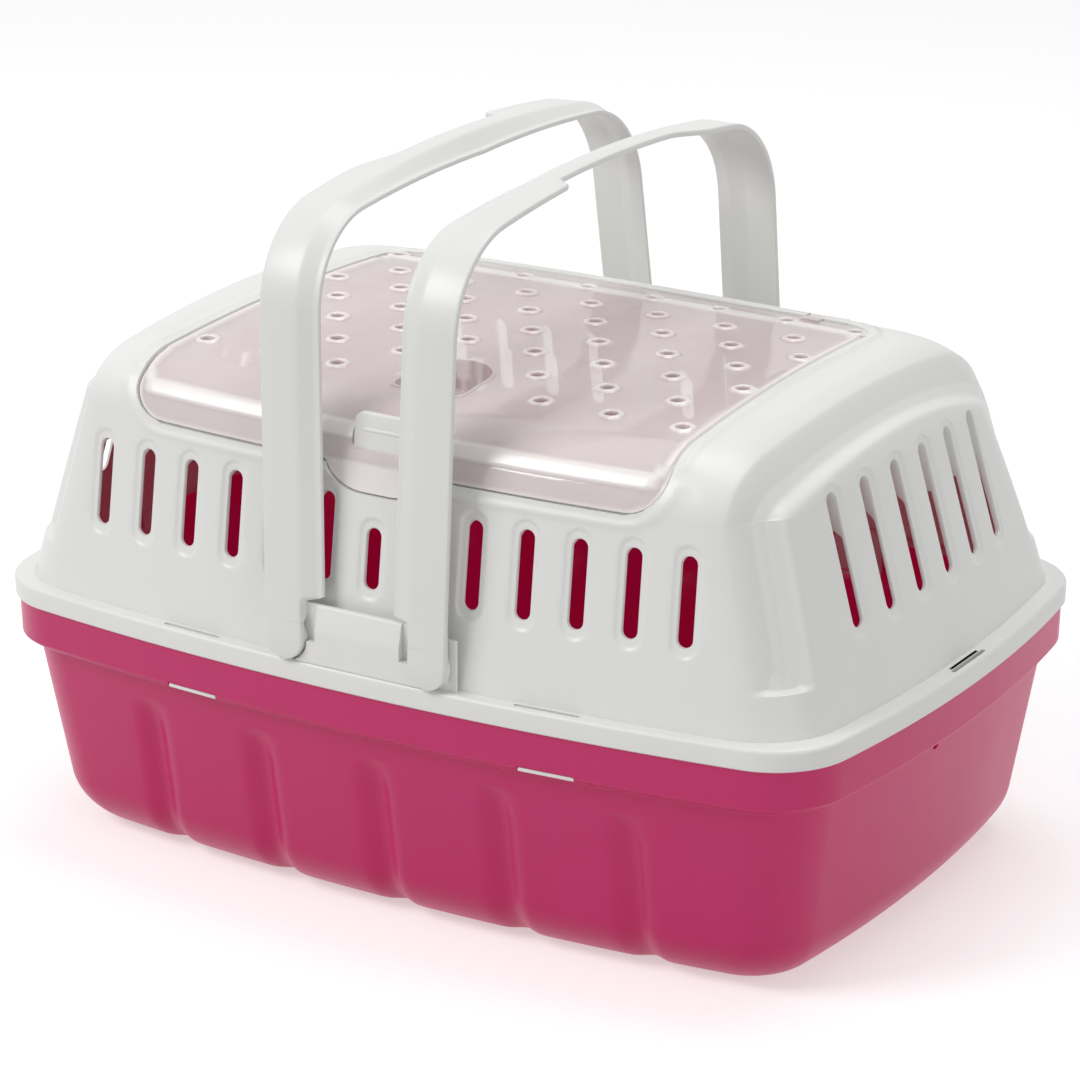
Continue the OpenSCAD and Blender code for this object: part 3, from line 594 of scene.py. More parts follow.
def rear_level(v):
    if v <= 1:
        return WALL_SIDE - SIDE_DRAFT * (REAR_Z1 - LEDGE) * v, LEDGE + (REAR_Z1 - LEDGE) * v, 0.0
    if v <= 2:
        t = SIDE_T0 + (REAR_T1 - SIDE_T0) * (v - 1)
        return REAR_F[0] + REAR_SHOULDER * math.cos(t), REAR_F[1] + REAR_SHOULDER * math.sin(t), t
    b2 = rear_level(2)[0]
    return b2 + (OPEN_REAR - b2) * (v - 2), -1, math.pi / 2


GROOVE_INSET, GROOVE_WIDTH, GROOVE_DEPTH, GROOVE_START = 16.0, 17.0, 4.5, 26.0
GROOVE_SLOPE, GROOVE_RISE = 9.5, 4.2


def groove_dip(x, z):
    place = WALL_END - GROOVE_INSET - END_DRAFT * (np.minimum(z, END_Z1) - LEDGE) * 0.9
    d = np.abs(x) - place
    slope = np.clip((d + GROOVE_WIDTH / 2) / GROOVE_SLOPE, 0, 1)
    step = np.clip((GROOVE_WIDTH / 2 - GROOVE_RISE - d) / GROOVE_RISE + 1, 0, 1)
    step = step * step * (3 - 2 * step)
    return GROOVE_DEPTH * slope * step * np.clip((z - GROOVE_START) / 1.6, 0, 1)


def shell_heights(v, thick):
    a, b0, end_z, side_z, tilt = level(v)
    rear_b, rear_z, rear_t = rear_level(v)
    b = b0 - thick * math.cos(tilt)
    stretch = (rear_b - thick * math.cos(rear_t)) / b
    rc = max(RIM_CORNER - 6 * v, 14)
    p = outline(a - thick * math.cos(tilt), b, max(rc - thick, 6))
    x, y = p[:, 0], p[:, 1]
    w = np.clip((np.abs(x) - (a - rc)) / rc, 0, 1)**2 * (1 - np.clip(np.abs(y) / b0, 0, 1)**6)
    y = np.where(y > 0, y * stretch, y)
    side = np.where(p[:, 1] > 0, rear_z, side_z)
    if v > 2:
        return x, y, crown_z(y), tilt
    return x, y, side + (end_z - side) * w - (CROWN - crown_z(y)) * w * max(0, v - 1), tilt


def shell_ring(v, thick):
    x, y, z, tilt = shell_heights(v, thick)
    if 1 < v <= 2:
        _, y2, z2, _ = shell_heights(2, thick)
        z = z + (crown_z(y2) - z2) * (v - 1)**2
    dip, r = groove_dip(x, z), np.hypot(x, y)
    return np.column_stack([x - x / r * dip * math.cos(tilt), y - y / r * dip * math.cos(tilt),
                            TUB + z - (thick + dip) * math.sin(tilt)])


def flat_ring(inset_end, inset_side, rc, z):
    p = outline(HALF_L - inset_end, HALF_W - inset_side, rc)
    return np.column_stack([p, np.full(RING, TUB + z)])


# %% Shell rings
outer_levels = np.unique(np.round(np.concatenate([
    [0, 0.03, 0.1, 0.17, 0.2, 0.208], np.linspace(0.214, 0.24, 7), np.linspace(0.27, 0.9, 20),
    np.linspace(0.915, 1, 8), np.linspace(1, 2, 46), np.linspace(2, 3, 26)]), 4))
inner_levels = np.array([3, 2.8, 2.4, 2.1, 2, 1.9, 1.75, 1.6, 1.45, 1.3, 1.15, 1, 0.84, 0.8, 0.6,
                         0.4, 0.2, 0])
rings = [shell_ring(v, WALL if v <= 0.8 else SEAT_THICK) for v in inner_levels]
rings += [flat_ring(END_LEDGE + WALL, SIDE_LEDGE + WALL, RIM_CORNER - WALL, LEDGE - WALL),
          flat_ring(WALL, WALL, RIM_CORNER - WALL, LEDGE - WALL),
          flat_ring(WALL, WALL, RIM_CORNER - WALL, 0), flat_ring(0.5, 0.5, RIM_CORNER - 0.5, 0),
          flat_ring(0, 0, RIM_CORNER, 0.5)]
rings += [flat_ring(1.8 - 1.8 * math.sin(t), 1.8 - 1.8 * math.sin(t), RIM_CORNER - 1,
                    LEDGE - 1.8 + 1.8 * math.cos(t)) for t in np.radians([90, 68, 45, 22, 0])]
rings += [flat_ring(END_LEDGE - 1.4, SIDE_LEDGE - 1.4, RIM_CORNER - 1, LEDGE),
          flat_ring(END_LEDGE - 0.5, SIDE_LEDGE - 0.5, RIM_CORNER, LEDGE + 0.3)]
first_outer = len(rings)
rings += [shell_ring(v, 0) for v in outer_levels]
shell = loft("pet_keeper_shell", rings, loop=True)
print("shell rings", len(rings), "of them outside", len(outer_levels))

# %% [markdown]
# ## The lid's surface
# The clear lid lies flush in a recess of the crown and bends down over the front shoulder.
# One function gives that surface for the lid, the recess and the bead round it:
# a station s along the middle line, 0 to 1 over the shoulder and 1 to 2 over the crown,
# and a distance from the middle. A rounded-rectangle distance tells how far in a point is.

# %% The lid's surface
LID_FRONT, LID_BACK, LID_CORNER, LID_THICK, LID_GAP, SEAT_GAP = 244.0, 232.0, 16.0, 2.2, 0.8, 0.6
FRONT_RUN = SIDE_SHOULDER * 1.35
SIDE_FRAME = 8.5
FULL_RUN = FRONT_RUN + CROWN_REAR - CROWN_FRONT


def station_of_run(run):
    return run / FRONT_RUN if run < FRONT_RUN else 1 + (run - FRONT_RUN) / (CROWN_REAR - CROWN_FRONT)


def lid_half_at(run, grow=0.0):
    e = min(run, FULL_RUN - run)
    cut = LID_CORNER - math.sqrt(LID_CORNER**2 - (LID_CORNER - e)**2) if e < LID_CORNER else 0
    return (LID_FRONT + (LID_BACK - LID_FRONT) * run / FULL_RUN) / 2 + grow - cut


def bow_drop(x, r=SIDE_BOW):
    return r - np.sqrt(r * r - np.square(x))


def lid_surface(run, x, off, shift=0.0):
    s = station_of_run(run)
    if s <= 1:
        t = SIDE_T0 + (SIDE_T1 - SIDE_T0) * s
        y, z, tilt = (-SIDE_F[0] - SIDE_SHOULDER * math.cos(t),
                      SIDE_F[1] + SIDE_SHOULDER * math.sin(t), math.pi - t)
    else:
        y = CROWN_FRONT + (CROWN_REAR - CROWN_FRONT) * (s - 1)
        z, tilt = float(crown_z(y)), math.pi / 2 - math.asin(y / CROWN_R)
    c, n = math.cos(tilt), math.sin(tilt)
    pull = -np.sign(y) * bow_drop(x) * min(1, (abs(y) / SIDE_F[0])**2)
    height = crown_z(y + pull) if s > 1 else z + 0 * x
    return np.column_stack([x, y + pull + c * off + n * shift, TUB + height + n * off - c * shift])


def edge_distance(run, x, corner):
    """How far inside the lid's edge a point is, with the corners rounded."""
    dx = (LID_FRONT + (LID_BACK - LID_FRONT) * run / FULL_RUN) / 2 - np.abs(x)
    de = min(run, FULL_RUN - run) + 0 * dx
    both = (dx < corner) & (de < corner)
    return np.where(both, corner - np.hypot(corner - dx, corner - de), np.minimum(dx, de))


EDGE_STEPS = np.array([0, 0.25, 0.6, 1.1, 2.2, 5, 8, 9.5, 10.3, 11, 11.8, 12.8, 14, 15.2, 16.2, 17,
                       17.7, 18.6, 20, 23])


def lid_runs(count):
    bend = [v for v in EDGE_STEPS if v < 24]
    front = list(np.arange(26, FRONT_RUN + 6, 2.4))
    middle = list(np.linspace(FRONT_RUN + 7, FULL_RUN - 26, count))
    return np.array(bend + front + middle + [FULL_RUN - v for v in bend[::-1]])


def lid_sheet(name, runs, columns, top, low, grow=0.0):
    """A closed sheet over the lid's patch: `top` and `low` give the offset of its faces."""
    rings = []
    for k, run in enumerate(runs):
        h = lid_half_at(run, grow)
        side = h - np.minimum(EDGE_STEPS, h * 0.4)
        x = np.concatenate([side, np.linspace(side[-1], -side[-1], columns + 2)[1:-1], -side[::-1]])
        shift = -grow if k == 0 else grow if k == len(runs) - 1 else 0.0
        upper = lid_surface(run, x, top(run, x), shift)
        lower = lid_surface(run, x, low(run, x), shift)
        rings.append(np.vstack([upper, lower[::-1]]))
    return loft(name, rings)


def frame_distance(run, x):
    """The same for the raised frame, which hugs the lid's edge on both sides."""
    dx = (LID_FRONT + (LID_BACK - LID_FRONT) * run / FULL_RUN) / 2 - np.abs(x)
    near = SIDE_FRAME + dx * 2.0
    de = min(run, FULL_RUN - run) + 0 * dx
    both = (near < 24) & (de < 24)
    return np.where(both, 24 - np.hypot(24 - near, 24 - de), np.minimum(near, de))


def flat_at(offset):
    return lambda run, x: np.full(len(x), float(offset))


# %% [markdown]
# ## The recess, the bead and the slots
# The recess is cut with the lid's own sheet, made 0.8 mm larger all round, so the gap is
# even. A fine raised bead follows the recess. Each slot sits in a soft capsule-shaped
# pocket: its cutter is one flared capsule, and a node tree sets a row of them along
# the bowed wall, each turned to face out.

# %% The bead round the recess
def run_of(y, z, x):
    """Where a point of the skin lies along the lid's middle line, as an array."""
    front = y < 0
    y0 = y - np.where(front, 1, -1) * bow_drop(np.clip(x, -140, 140)) * np.minimum(
        1, (np.abs(y) / SIDE_F[0])**2)
    t = np.arctan2(z - SIDE_F[1], -y0 - SIDE_F[0])
    shoulder = (t - SIDE_T0) / (SIDE_T1 - SIDE_T0) * FRONT_RUN
    run = np.where(y0 < CROWN_FRONT, shoulder, FRONT_RUN + y0 - CROWN_FRONT)
    return np.where((z < SIDE_Z1) & front, z - SIDE_Z1, run)


def raise_bead(piece, start, count, height, place, width):
    """Lifts the outer skin along its normals in a narrow band beside the lid's edge."""
    mesh = piece.data
    co = np.array([v.co for v in mesh.vertices]) / MM
    normal = np.array([v.normal for v in mesh.vertices])
    x, y, z = co[:, 0], co[:, 1], co[:, 2] - TUB
    run = run_of(y, z, x)
    dx = np.abs(x) - (LID_FRONT + (LID_BACK - LID_FRONT) * np.clip(run, 0, FULL_RUN) / FULL_RUN) / 2
    de = np.maximum(-run, run - FULL_RUN)
    corner = LID_CORNER
    ax, ae = np.maximum(dx + corner, 0), np.maximum(de + corner, 0)
    d = np.minimum(np.maximum(dx, de) + corner, 0) + np.hypot(ax, ae) - corner
    lift = height * np.exp(-((d - place) / width)**2)
    outside = (z > LEDGE + 30) & (normal @ np.array([0, 0, 1]) > -0.2) & (d > 0.5)
    outside &= np.arange(len(co)) >= start
    co += normal * np.where(outside, lift, 0)[:, None]
    mesh.vertices.foreach_set("co", (co * MM).ravel())
    mesh.update()


raise_bead(shell, first_outer * RING, RING, 0.9, 4.6, 1.5)


# %% A flared capsule cutter, and the rows of them
def capsule_ring(radius, half_height, depth, parts=12):
    loop = fillet_arc((0, half_height), radius, 0, 180, parts) \
        + fillet_arc((0, -half_height), radius, 180, 360, parts)
    return np.array([(p[0], -depth, p[1]) for p in loop])


def slot_cutter(name, height, pocket=3.1, long=4.6, floor=0.9, slot=3.15):
    """Opens towards -y at the wall's face, which is the plane y = 0."""
    half = height / 2 - slot
    more = long - pocket
    steps = [(slot + pocket + 2.2, 5), (slot + pocket + 0.35, 0.12), (slot + pocket - 0.5, -0.28),
             (slot + pocket - 1.2, -floor * 0.92), (slot + 1.15, -floor), (slot + 0.35, -floor - 0.25),
             (slot, -floor - 0.8), (slot, -9)]
    rings = [capsule_ring(r, half + more * (0 if r < slot + 1.1 else 1), d) for r, d in steps]
    return loft(name, rings)


def row_body(book, mesh, given):
    """A row along x on a bowed wall; each copy leans back by the draft and faces outwards."""
    count = given["Count"]
    line = book.add("GeometryNodeMeshLine", {}, {"Count": count, "Offset": (1.0, 0.0, 0.0)})
    index = book.add("GeometryNodeInputIndex")
    x = (index - (count - 1) * 0.5) * given["Pitch"]
    bow = given["Bow"]
    drop = bow - (bow * bow - x * x).sqrt()
    at = book.add("ShaderNodeCombineXYZ", {}, [x, drop - given["Wall"], given["Height"]])
    keep = abs(abs(x) - given["Skip at"]) > 0.001
    line = book.add("GeometryNodeSetPosition", {}, {"Geometry": line, "Position": at})
    turn = book.add("ShaderNodeCombineXYZ", {}, [0 - given["Lean"], 0.0, (x / bow).asin()])
    return book.add("GeometryNodeInstanceOnPoints", {}, {
        "Points": line, "Selection": keep, "Instance": mesh, "Rotation": turn})


row_tree = repeat_tree("slot row", ["Count", "Pitch", "Bow", "Wall", "Height", "Lean", "Skip at"],
                       row_body)
SLOT_LOW, SLOT_H, SHORT, END_SLOT_LOW, END_SLOT_H = 40.7, 35.2, 10.8, 38.7, 52.8


def wall_at(z, wall, draft):
    return wall - draft * (z - LEDGE)


def slot_row(low, height, count, pitch, bow, wall, draft, skip=9.0):
    mid = low + height / 2
    row = slot_cutter("slot cutter", height)
    return run_tree(row, row_tree, None, Count=count, Pitch=pitch * MM, Bow=bow * MM,
                    Wall=wall_at(mid, wall, draft) * MM, Height=(TUB + mid) * MM,
                    Lean=math.atan(draft), Skip_at=skip)


def turned(piece, degrees):
    turn = math.radians(degrees)
    for v in piece.data.vertices:
        x, y = v.co.x, v.co.y
        v.co.x = x * math.cos(turn) - y * math.sin(turn)
        v.co.y = x * math.sin(turn) + y * math.cos(turn)
    return piece


cutters = []
for degrees in (0, 180):
    long_wall = (22.5, SIDE_BOW, WALL_SIDE, SIDE_DRAFT)
    cutters.append(turned(slot_row(SLOT_LOW, SLOT_H, 13, *long_wall, 0.0), degrees))
    cutters.append(turned(slot_row(SLOT_LOW, SLOT_H - SHORT, 1, *long_wall), degrees))
for degrees in (90, 270):
    cutters.append(turned(slot_row(END_SLOT_LOW, END_SLOT_H, 6, 24, END_BOW, WALL_END, END_DRAFT), degrees))
combine(shell, [weld("slot cutters", cutters)], "DIFFERENCE")
print("slots cut:", 2 * 13 + 2 * 6)

# %% [markdown]
# ## Openings of the shell
# Under the lid the shell carries a stepped seat. In front of it a window leaves room for
# the latch tab, and behind it two pockets take the hinge ears. The ledge has a window
# above each clip, and the clip's hook reaches down behind the tub's band, where its
# white nose shows in the tub's slit.

# %% Recess, windows and hooks
TONGUE_DROP, LATCH_HALF, LATCH_GAP = 10.0, 13.5, 0.6


def tongue_solid(name, grow, up, down, top=1.0):
    """The tongue under the lid's front edge, as a U in the plane of the front wall."""
    z0 = TUB + SIDE_Z1 - TONGUE_DROP - grow
    z1 = TUB + SIDE_Z1 + top
    w = LATCH_HALF - 1 + grow
    high = TONGUE_DROP + 3 + grow
    right = [(0, 0), (3, 0)] + [(6 + (w + 6) * math.sin(t), high * (1 - math.cos(t)))
                                for t in np.radians(range(0, 73, 6))]
    right += [(w + 12.6, high - 2.2), (w + 14, high)]
    loop = [(-x, h) for x, h in right[::-1]][:-1] + right
    rings = []
    for off in (down, -up):
        ring = []
        for x, h in loop:
            z = min(z0 + h, z1)
            wall = -WALL_SIDE + SIDE_DRAFT * (z - TUB - LEDGE)
            ring.append((x, wall + bow_drop(x) + off, z))
        rings.append(np.array(ring))
    return loft(name, rings)


recess = lid_sheet("recess", lid_runs(20), 16, flat_at(12), flat_at(-LID_THICK - SEAT_GAP), LID_GAP)
combine(shell, [recess], "DIFFERENCE")
combine(shell, [tongue_solid("tongue recess", LID_GAP, 6, LID_THICK + SEAT_GAP + 0.4)],
        "DIFFERENCE")
LATCH_ROOT = SIDE_Z1 - TONGUE_DROP + 0.9
window = block("latch window", (-14.1, -HALF_W, TUB + LATCH_ROOT),
               (14.1, CROWN_FRONT + 1, TUB + CROWN + 6))
combine(shell, [window], "DIFFERENCE")
HOOK_FACE = HALF_W - BAND_INSET - WALL - 0.4
combine(shell, [weld("windows", at_clips(lambda: soft_edges(block(
    "window", (-14, -HALF_W + 2.4, TUB + 3), (14, -HOOK_FACE - 0.02, TUB + 12)), 0.6),
    SIDE_CLIPS + END_CLIPS))], "DIFFERENCE")
HINGE_TILT = math.pi / 2 - math.asin(CROWN_REAR / CROWN_R)
HINGE_Y = CROWN_REAR + 5 * math.sin(HINGE_TILT) - 3.0 * math.cos(HINGE_TILT)
HINGE_Z = TUB + float(crown_z(CROWN_REAR)) - 5 * math.cos(HINGE_TILT) - 3.0 * math.sin(HINGE_TILT)
KNUCKLE_X, KNUCKLE_W, EAR_X = 85.0, 8.0, 89.3


def hinge_block(name, x0, x1, y0, y1):
    """A box in the hinge's own tilted frame, on both sides."""
    lean = HINGE_TILT - math.pi / 2
    made = []
    for side in (1, -1):
        part = block(name, (x0, y0, -10), (x1, y1, 10))
        for v in part.data.vertices:
            y, z = v.co.y, v.co.z
            v.co.x *= side
            v.co.y = y * math.cos(lean) - z * math.sin(lean) + HINGE_Y * MM
            v.co.z = y * math.sin(lean) + z * math.cos(lean) + HINGE_Z * MM
        made.append(face_out(part))
    return weld(name, made)


combine(shell, [hinge_block("ear pockets", EAR_X - 0.15, EAR_X + 8.15, -2.95, 2.95),
                hinge_block("knuckle room", KNUCKLE_X - 4.3, KNUCKLE_X + 4.3, -8, 3.4)],
        "DIFFERENCE")
PIVOT_X, PIVOT_Z = 33.0, 18.0
bores = [prism("bush bore", fillet_arc((x, TUB + PIVOT_Z), 6.3, 0, 360 - 10, 35), 1, y0, y0 + 20)
         for x in (-PIVOT_X, PIVOT_X) for y0 in (-HALF_W, HALF_W - 20)]
combine(shell, [weld("bush bores", bores)], "DIFFERENCE")


def stem():
    return soft_edges(block("stem", (-12, -HOOK_FACE, TUB - 17.6), (12, -HOOK_FACE + 2, TUB + 9)), 0.3)


def hook():
    nose = block("nose", (-12, -HALF_W + 2.3, TUB - 17.6), (12, -HOOK_FACE + 0.5, TUB - 16))
    return weld("hook", [stem(), soft_edges(nose, 0.3)])


shell = weld("pet_keeper_shell", [shell] + at_clips(hook, SIDE_CLIPS) + at_clips(stem, END_CLIPS))
shell.data.materials.clear()
shell.data.materials.append(SHELL_FINISH)
for face in shell.data.polygons:
    face.material_index = 0
finish_mesh(shell)

# %% [markdown]
# ## The handle seats
# Between the feet of the two handles, on the ledge of each long side, stands a raised
# box with a bevelled top. Its ends are hollowed to clear the round feet, and its back
# plate carries the bushes that the handle stubs turn in.

# %% Handle seats
SEAT_BACK, SEAT_PLATE, SEAT_H, FOOT_R = WALL_SIDE + 0.15, 1.5, 24.0, 8.5
STUB_R, FRONT_Y = 4.0, HALF_W - 0.6


def handle_seat(name, degrees):
    z0, z1 = TUB + LEDGE, TUB + LEDGE + SEAT_H
    plate = block("plate", (-PIVOT_X - FOOT_R - 2, -SEAT_BACK - SEAT_PLATE, z0),
                  (PIVOT_X + FOOT_R + 2, -SEAT_BACK, z1 - 3))
    box = prism("box", soft_loop([(-SEAT_BACK - 0.5, z0), (-FRONT_Y, z0), (-FRONT_Y, z1 - 10),
                                  (-FRONT_Y + 2.4, z1), (-SEAT_BACK - 0.5, z1)],
                                 [0.01, 0.3, 1.2, 1.6, 0.01], 4), 0, -28.7, 28.7)
    seat = combine(plate, [box], "UNION")
    cuts = [prism("foot room", fillet_arc((x, TUB + PIVOT_Z), FOOT_R + 1, 0, 354, 59), 1,
                  -SEAT_BACK - SEAT_PLATE - 20, -SEAT_BACK - SEAT_PLATE) for x in (-PIVOT_X, PIVOT_X)]
    combine(seat, [weld("foot rooms", cuts)], "DIFFERENCE")
    legs = [block("leg room", (min(x0, x1), -HALF_W - 9, TUB + PIVOT_Z),
                  (max(x0, x1), -SEAT_BACK - SEAT_PLATE, TUB + PIVOT_Z + 40))
            for x0, x1 in ((19.5, 43.6), (-19.5, -43.6))]
    combine(seat, [weld("leg rooms", legs)], "DIFFERENCE")
    bushes = [prism("bush", fillet_arc((x, TUB + PIVOT_Z), 6.0, 0, 350, 35), 1, -SEAT_BACK - 0.4,
                    -SEAT_BACK + 3.5) for x in (-PIVOT_X, PIVOT_X)]
    combine(seat, [weld("bushes", bushes)], "UNION")
    bores = [prism("bore", fillet_arc((x, TUB + PIVOT_Z), STUB_R + 0.06, 0, 350, 35), 1,
                   -HALF_W - 5, -HALF_W + 20) for x in (-PIVOT_X, PIVOT_X)]
    combine(seat, [weld("bores", bores)], "DIFFERENCE")
    seat.name = seat.data.name = name
    turned(seat, degrees)
    seat.data.materials.clear()
    seat.data.materials.append(SHELL_FINISH)
    return finish_mesh(seat, 28)


seats = [handle_seat("pet_keeper_handle_seat_front", 0), handle_seat("pet_keeper_handle_seat_back", 180)]

# %% [markdown]
# ## The clear lid
# The lid is a thin sheet: a flange that lies on the seat, a rounded frame that stands a
# little proud, and the glossy panel inside it. Every air hole has a raised ring. A tree
# sets 53 staggered places from one index by arithmetic, and is run twice: with a
# domed disc to weld on, and with a flared plug to cut the hole.

# %% Lid sheet and tongue
def lid_top(run, x):
    d = frame_distance(run, x)
    edge = np.clip(edge_distance(run, x, LID_CORNER), 0, 0.8)
    flange = -1.0 + 0.25 * np.exp(-((d - 0.9) / 0.6)**2)
    frame_up = np.clip((d - 9.6) / 1.6, 0, 1) * np.clip((18.2 - d) / 1.8, 0, 1)
    bulge = 0.95 * np.sin(frame_up * math.pi / 2)**0.8
    panel = 0.35 * np.clip((d - 16.4) / 1.6, 0, 1)
    round_off = 0.5 - np.sqrt(np.maximum(0, 0.25 - np.square(np.maximum(0, 0.5 - edge))))
    return flange + np.maximum(bulge, panel) - round_off


def lid_low(run, x):
    d = frame_distance(run, x)
    lift = np.clip((d - 10.6) / 1.6, 0, 1)
    return -LID_THICK + 0.35 * lift


lid = lid_sheet("pet_keeper_lid", lid_runs(26), 40, lid_top, lid_low)
tongue = tongue_solid("tongue", 0, -0.75, LID_THICK - 0.1, 2.0)
combine(lid, [tongue], "UNION")


# %% Air holes by index arithmetic
def hole_body(book, mesh, given):
    """Rows of 8 and 7 holes in turn: 15 points make a pair of rows."""
    line = book.add("GeometryNodeMeshLine", {}, {"Count": given["Count"],
                                                 "Offset": (1.0, 0.0, 0.0)})
    index = book.add("GeometryNodeInputIndex")
    pair = (index / 15 + 0.001).floor()
    k = index - pair * 15
    odd = k > 7.5
    column = k - odd * 8
    x = (column - (7 - odd) * 0.5) * given["Pitch"]
    y = given["First"] + (pair * 2 + odd) * given["Row"]
    r = given["Crown"]
    z = given["Top"] - r + (r * r - y * y).sqrt()
    at = book.add("ShaderNodeCombineXYZ", {}, [x, y, z])
    line = book.add("GeometryNodeSetPosition", {}, {"Geometry": line, "Position": at})
    away = (x * x + (y + given["Scoop"]) * (y + given["Scoop"])).sqrt() > given["Clear"]
    turn = book.add("ShaderNodeCombineXYZ", {}, [0 - (y / r).asin(), 0.0, 0.0])
    return book.add("GeometryNodeInstanceOnPoints", {}, {
        "Points": line, "Selection": away, "Instance": mesh, "Rotation": turn})


hole_tree = repeat_tree("air holes", ["Count", "Pitch", "First", "Row", "Crown", "Top", "Scoop",
                                      "Clear"], hole_body)
HOLE_PLACES = {"Count": 53, "Pitch": 0.0315, "First": -0.0763, "Row": 0.0236,
               "Crown": CROWN_R * MM, "Top": (TUB + CROWN) * MM, "Scoop": 0.068, "Clear": 0.024}


def turned_profile(name, profile, parts=28):
    """A closed solid of revolution about z from (radius, height) pairs, bottom to top."""
    t = np.radians(np.arange(parts) * 360 / parts)
    rings = [np.column_stack([r * np.cos(t), r * np.sin(t), np.full(parts, h)])
             for r, h in profile]
    return loft(name, rings)


crater = turned_profile("crater", [(5.85, -1.5), (5.85, -0.62), (5.4, -0.5), (4.6, 0.0),
                                   (4.0, 0.28), (3.4, 0.36), (2.4, 0.36)])
plug = turned_profile("plug", [(2.65, -4), (2.65, -0.55), (2.8, -0.15), (3.25, 0.2), (3.9, 0.6)])
crater = run_tree(crater, hole_tree, LID_FINISH, **HOLE_PLACES)
plug = run_tree(plug, hole_tree, LID_FINISH, **HOLE_PLACES)
combine(lid, [crater], "UNION")
combine(lid, [plug], "DIFFERENCE")
print("air holes cut")


# %% Finger scoop, latch cutout and knuckles
SCOOP_Y, SCOOP_W, SCOOP_L, SCOOP_FLOOR = -68.0, 32.0, 36.0, TUB + CROWN - 17.0


def scoop_ring(extra, z):
    r = SCOOP_W / 2 + extra
    middle = SCOOP_Y + SCOOP_L / 2 - SCOOP_W / 2
    front = SCOOP_Y - SCOOP_L / 2 - extra
    loop = fillet_arc((0, middle), r, 0, 180, 24) + fillet_arc((4 - r, front + 4), 4, 180, 270, 6) \
        + fillet_arc((r - 4, front + 4), 4, 270, 360, 6)
    return np.array([(x, y, z) for x, y in loop])


def scoop_solid(name, extra, lowest, top):
    steps = [(-5.5, 0), (-3.2, 0.5), (-1.6, 1.6), (-0.9, 3.4), (-0.4, 8)]
    rings = [scoop_ring(extra + e, lowest + h) for e, h in steps]
    rings += [scoop_ring(extra, top - 4.2), scoop_ring(extra, top)]
    return rings


cup = loft("cup", scoop_solid("cup", 1.6, SCOOP_FLOOR, TUB + CROWN + 4))
under = lid_sheet("under", lid_runs(20), 16, flat_at(-0.45), flat_at(-22))
combine(cup, [under], "INTERSECT")
combine(lid, [cup], "UNION")
hollow = loft("hollow", scoop_solid("hollow", 0, SCOOP_FLOOR + 1.7, TUB + CROWN + 6))
combine(lid, [hollow], "DIFFERENCE")
LATCH_DEPTH, LATCH_THICK, LATCH_RISE = LID_THICK + SEAT_GAP + 0.4, 2.4, 29.0


def latch_face(z, depth):
    return -WALL_SIDE + SIDE_DRAFT * (z - LEDGE) + depth


NOTCH_BACK = latch_face(LATCH_ROOT + LATCH_RISE, LATCH_DEPTH + LATCH_THICK) + LATCH_GAP
low = TUB + 94
notch = prism("notch", soft_loop([(-14.1, low), (14.1, low), (14.1, TUB + CROWN + 8),
                                  (-14.1, TUB + CROWN + 8)], [3, 3, 0.1, 0.1], 5),
              1, -HALF_W, NOTCH_BACK)
combine(lid, [notch], "DIFFERENCE")


def knuckle(side):
    lean = HINGE_TILT - math.pi / 2
    loop = fillet_arc((0, 0), 2.8, -90, 90, 12) + [(-11, 2.8), (-11, 1.1), (-4.5, -0.4), (-2.4, -1.5)]
    body = prism("knuckle", loop, 0, KNUCKLE_X - 4, KNUCKLE_X + 4)
    pin = prism("pin", fillet_arc((0, 0), 1.5, 0, 345, 23), 0, KNUCKLE_X + 3, KNUCKLE_X + 10.3)
    combine(body, [soft_edges(pin, 0.2)], "UNION")
    for v in body.data.vertices:
        y, z = v.co.y, v.co.z
        v.co.x *= side
        v.co.y = y * math.cos(lean) - z * math.sin(lean) + HINGE_Y * MM
        v.co.z = y * math.sin(lean) + z * math.cos(lean) + HINGE_Z * MM
    return face_out(body)


combine(lid, [weld("knuckles", [knuckle(1), knuckle(-1)])], "UNION")
lid.data.materials.clear()
lid.data.materials.append(LID_FINISH)
for face in lid.data.polygons:
    face.material_index = 0
finish_mesh(lid)
# The attribute `frame` holds the milky raised frame and also painted highlights: a whiter band along the
# lid's edge and a whiter ring round each air hole.
milky_frame_and_painted_glint = lid.data.attributes.new("frame", "FLOAT", "POINT")
for vertex, value in zip(lid.data.vertices, milky_frame_and_painted_glint.data):
    x, y, z = np.array(vertex.co) / MM
    run = min(max(float(run_of(np.array([y]), np.array([z - TUB]), np.array([x]))[0]), 0), FULL_RUN)
    d = float(frame_distance(run, np.array([x]))[0])
    rim = float(edge_distance(run, np.array([x]), LID_CORNER)[0])
    raised = min(1, max(0, (d - 9.6) / 1.4)) * min(1, max(0, (18.2 - d) / 1.4))
    row = round((y - 1000 * HOLE_PLACES["First"]) / 23.6)
    odd = row % 2
    column = round(x / 31.5 - 0.5 * (1 - odd)) + 0.5 * (1 - odd)
    off = math.hypot(x - column * 31.5, y - 1000 * HOLE_PLACES["First"] - row * 23.6)
    # Painted highlight: a whiter ring on the raised lip round each air hole.
    ring = 0.9 if 0 <= row < 7 and 2.8 < off < 5.2 else 0
    # The outermost 1.6 mm of the lid is painted whiter as an edge highlight.
    value.value = max(raised, ring, min(1, max(0, 1.6 - rim)))

# %% [markdown]
# ## The latch tab
# A white tab stands on the shell behind the lid's tongue. It is a flat plate in the plane
# of the front wall, and its round-cornered top shows through the notch in the lid. A thin
# rib near the top is for the finger, and a slit parts its lower half.

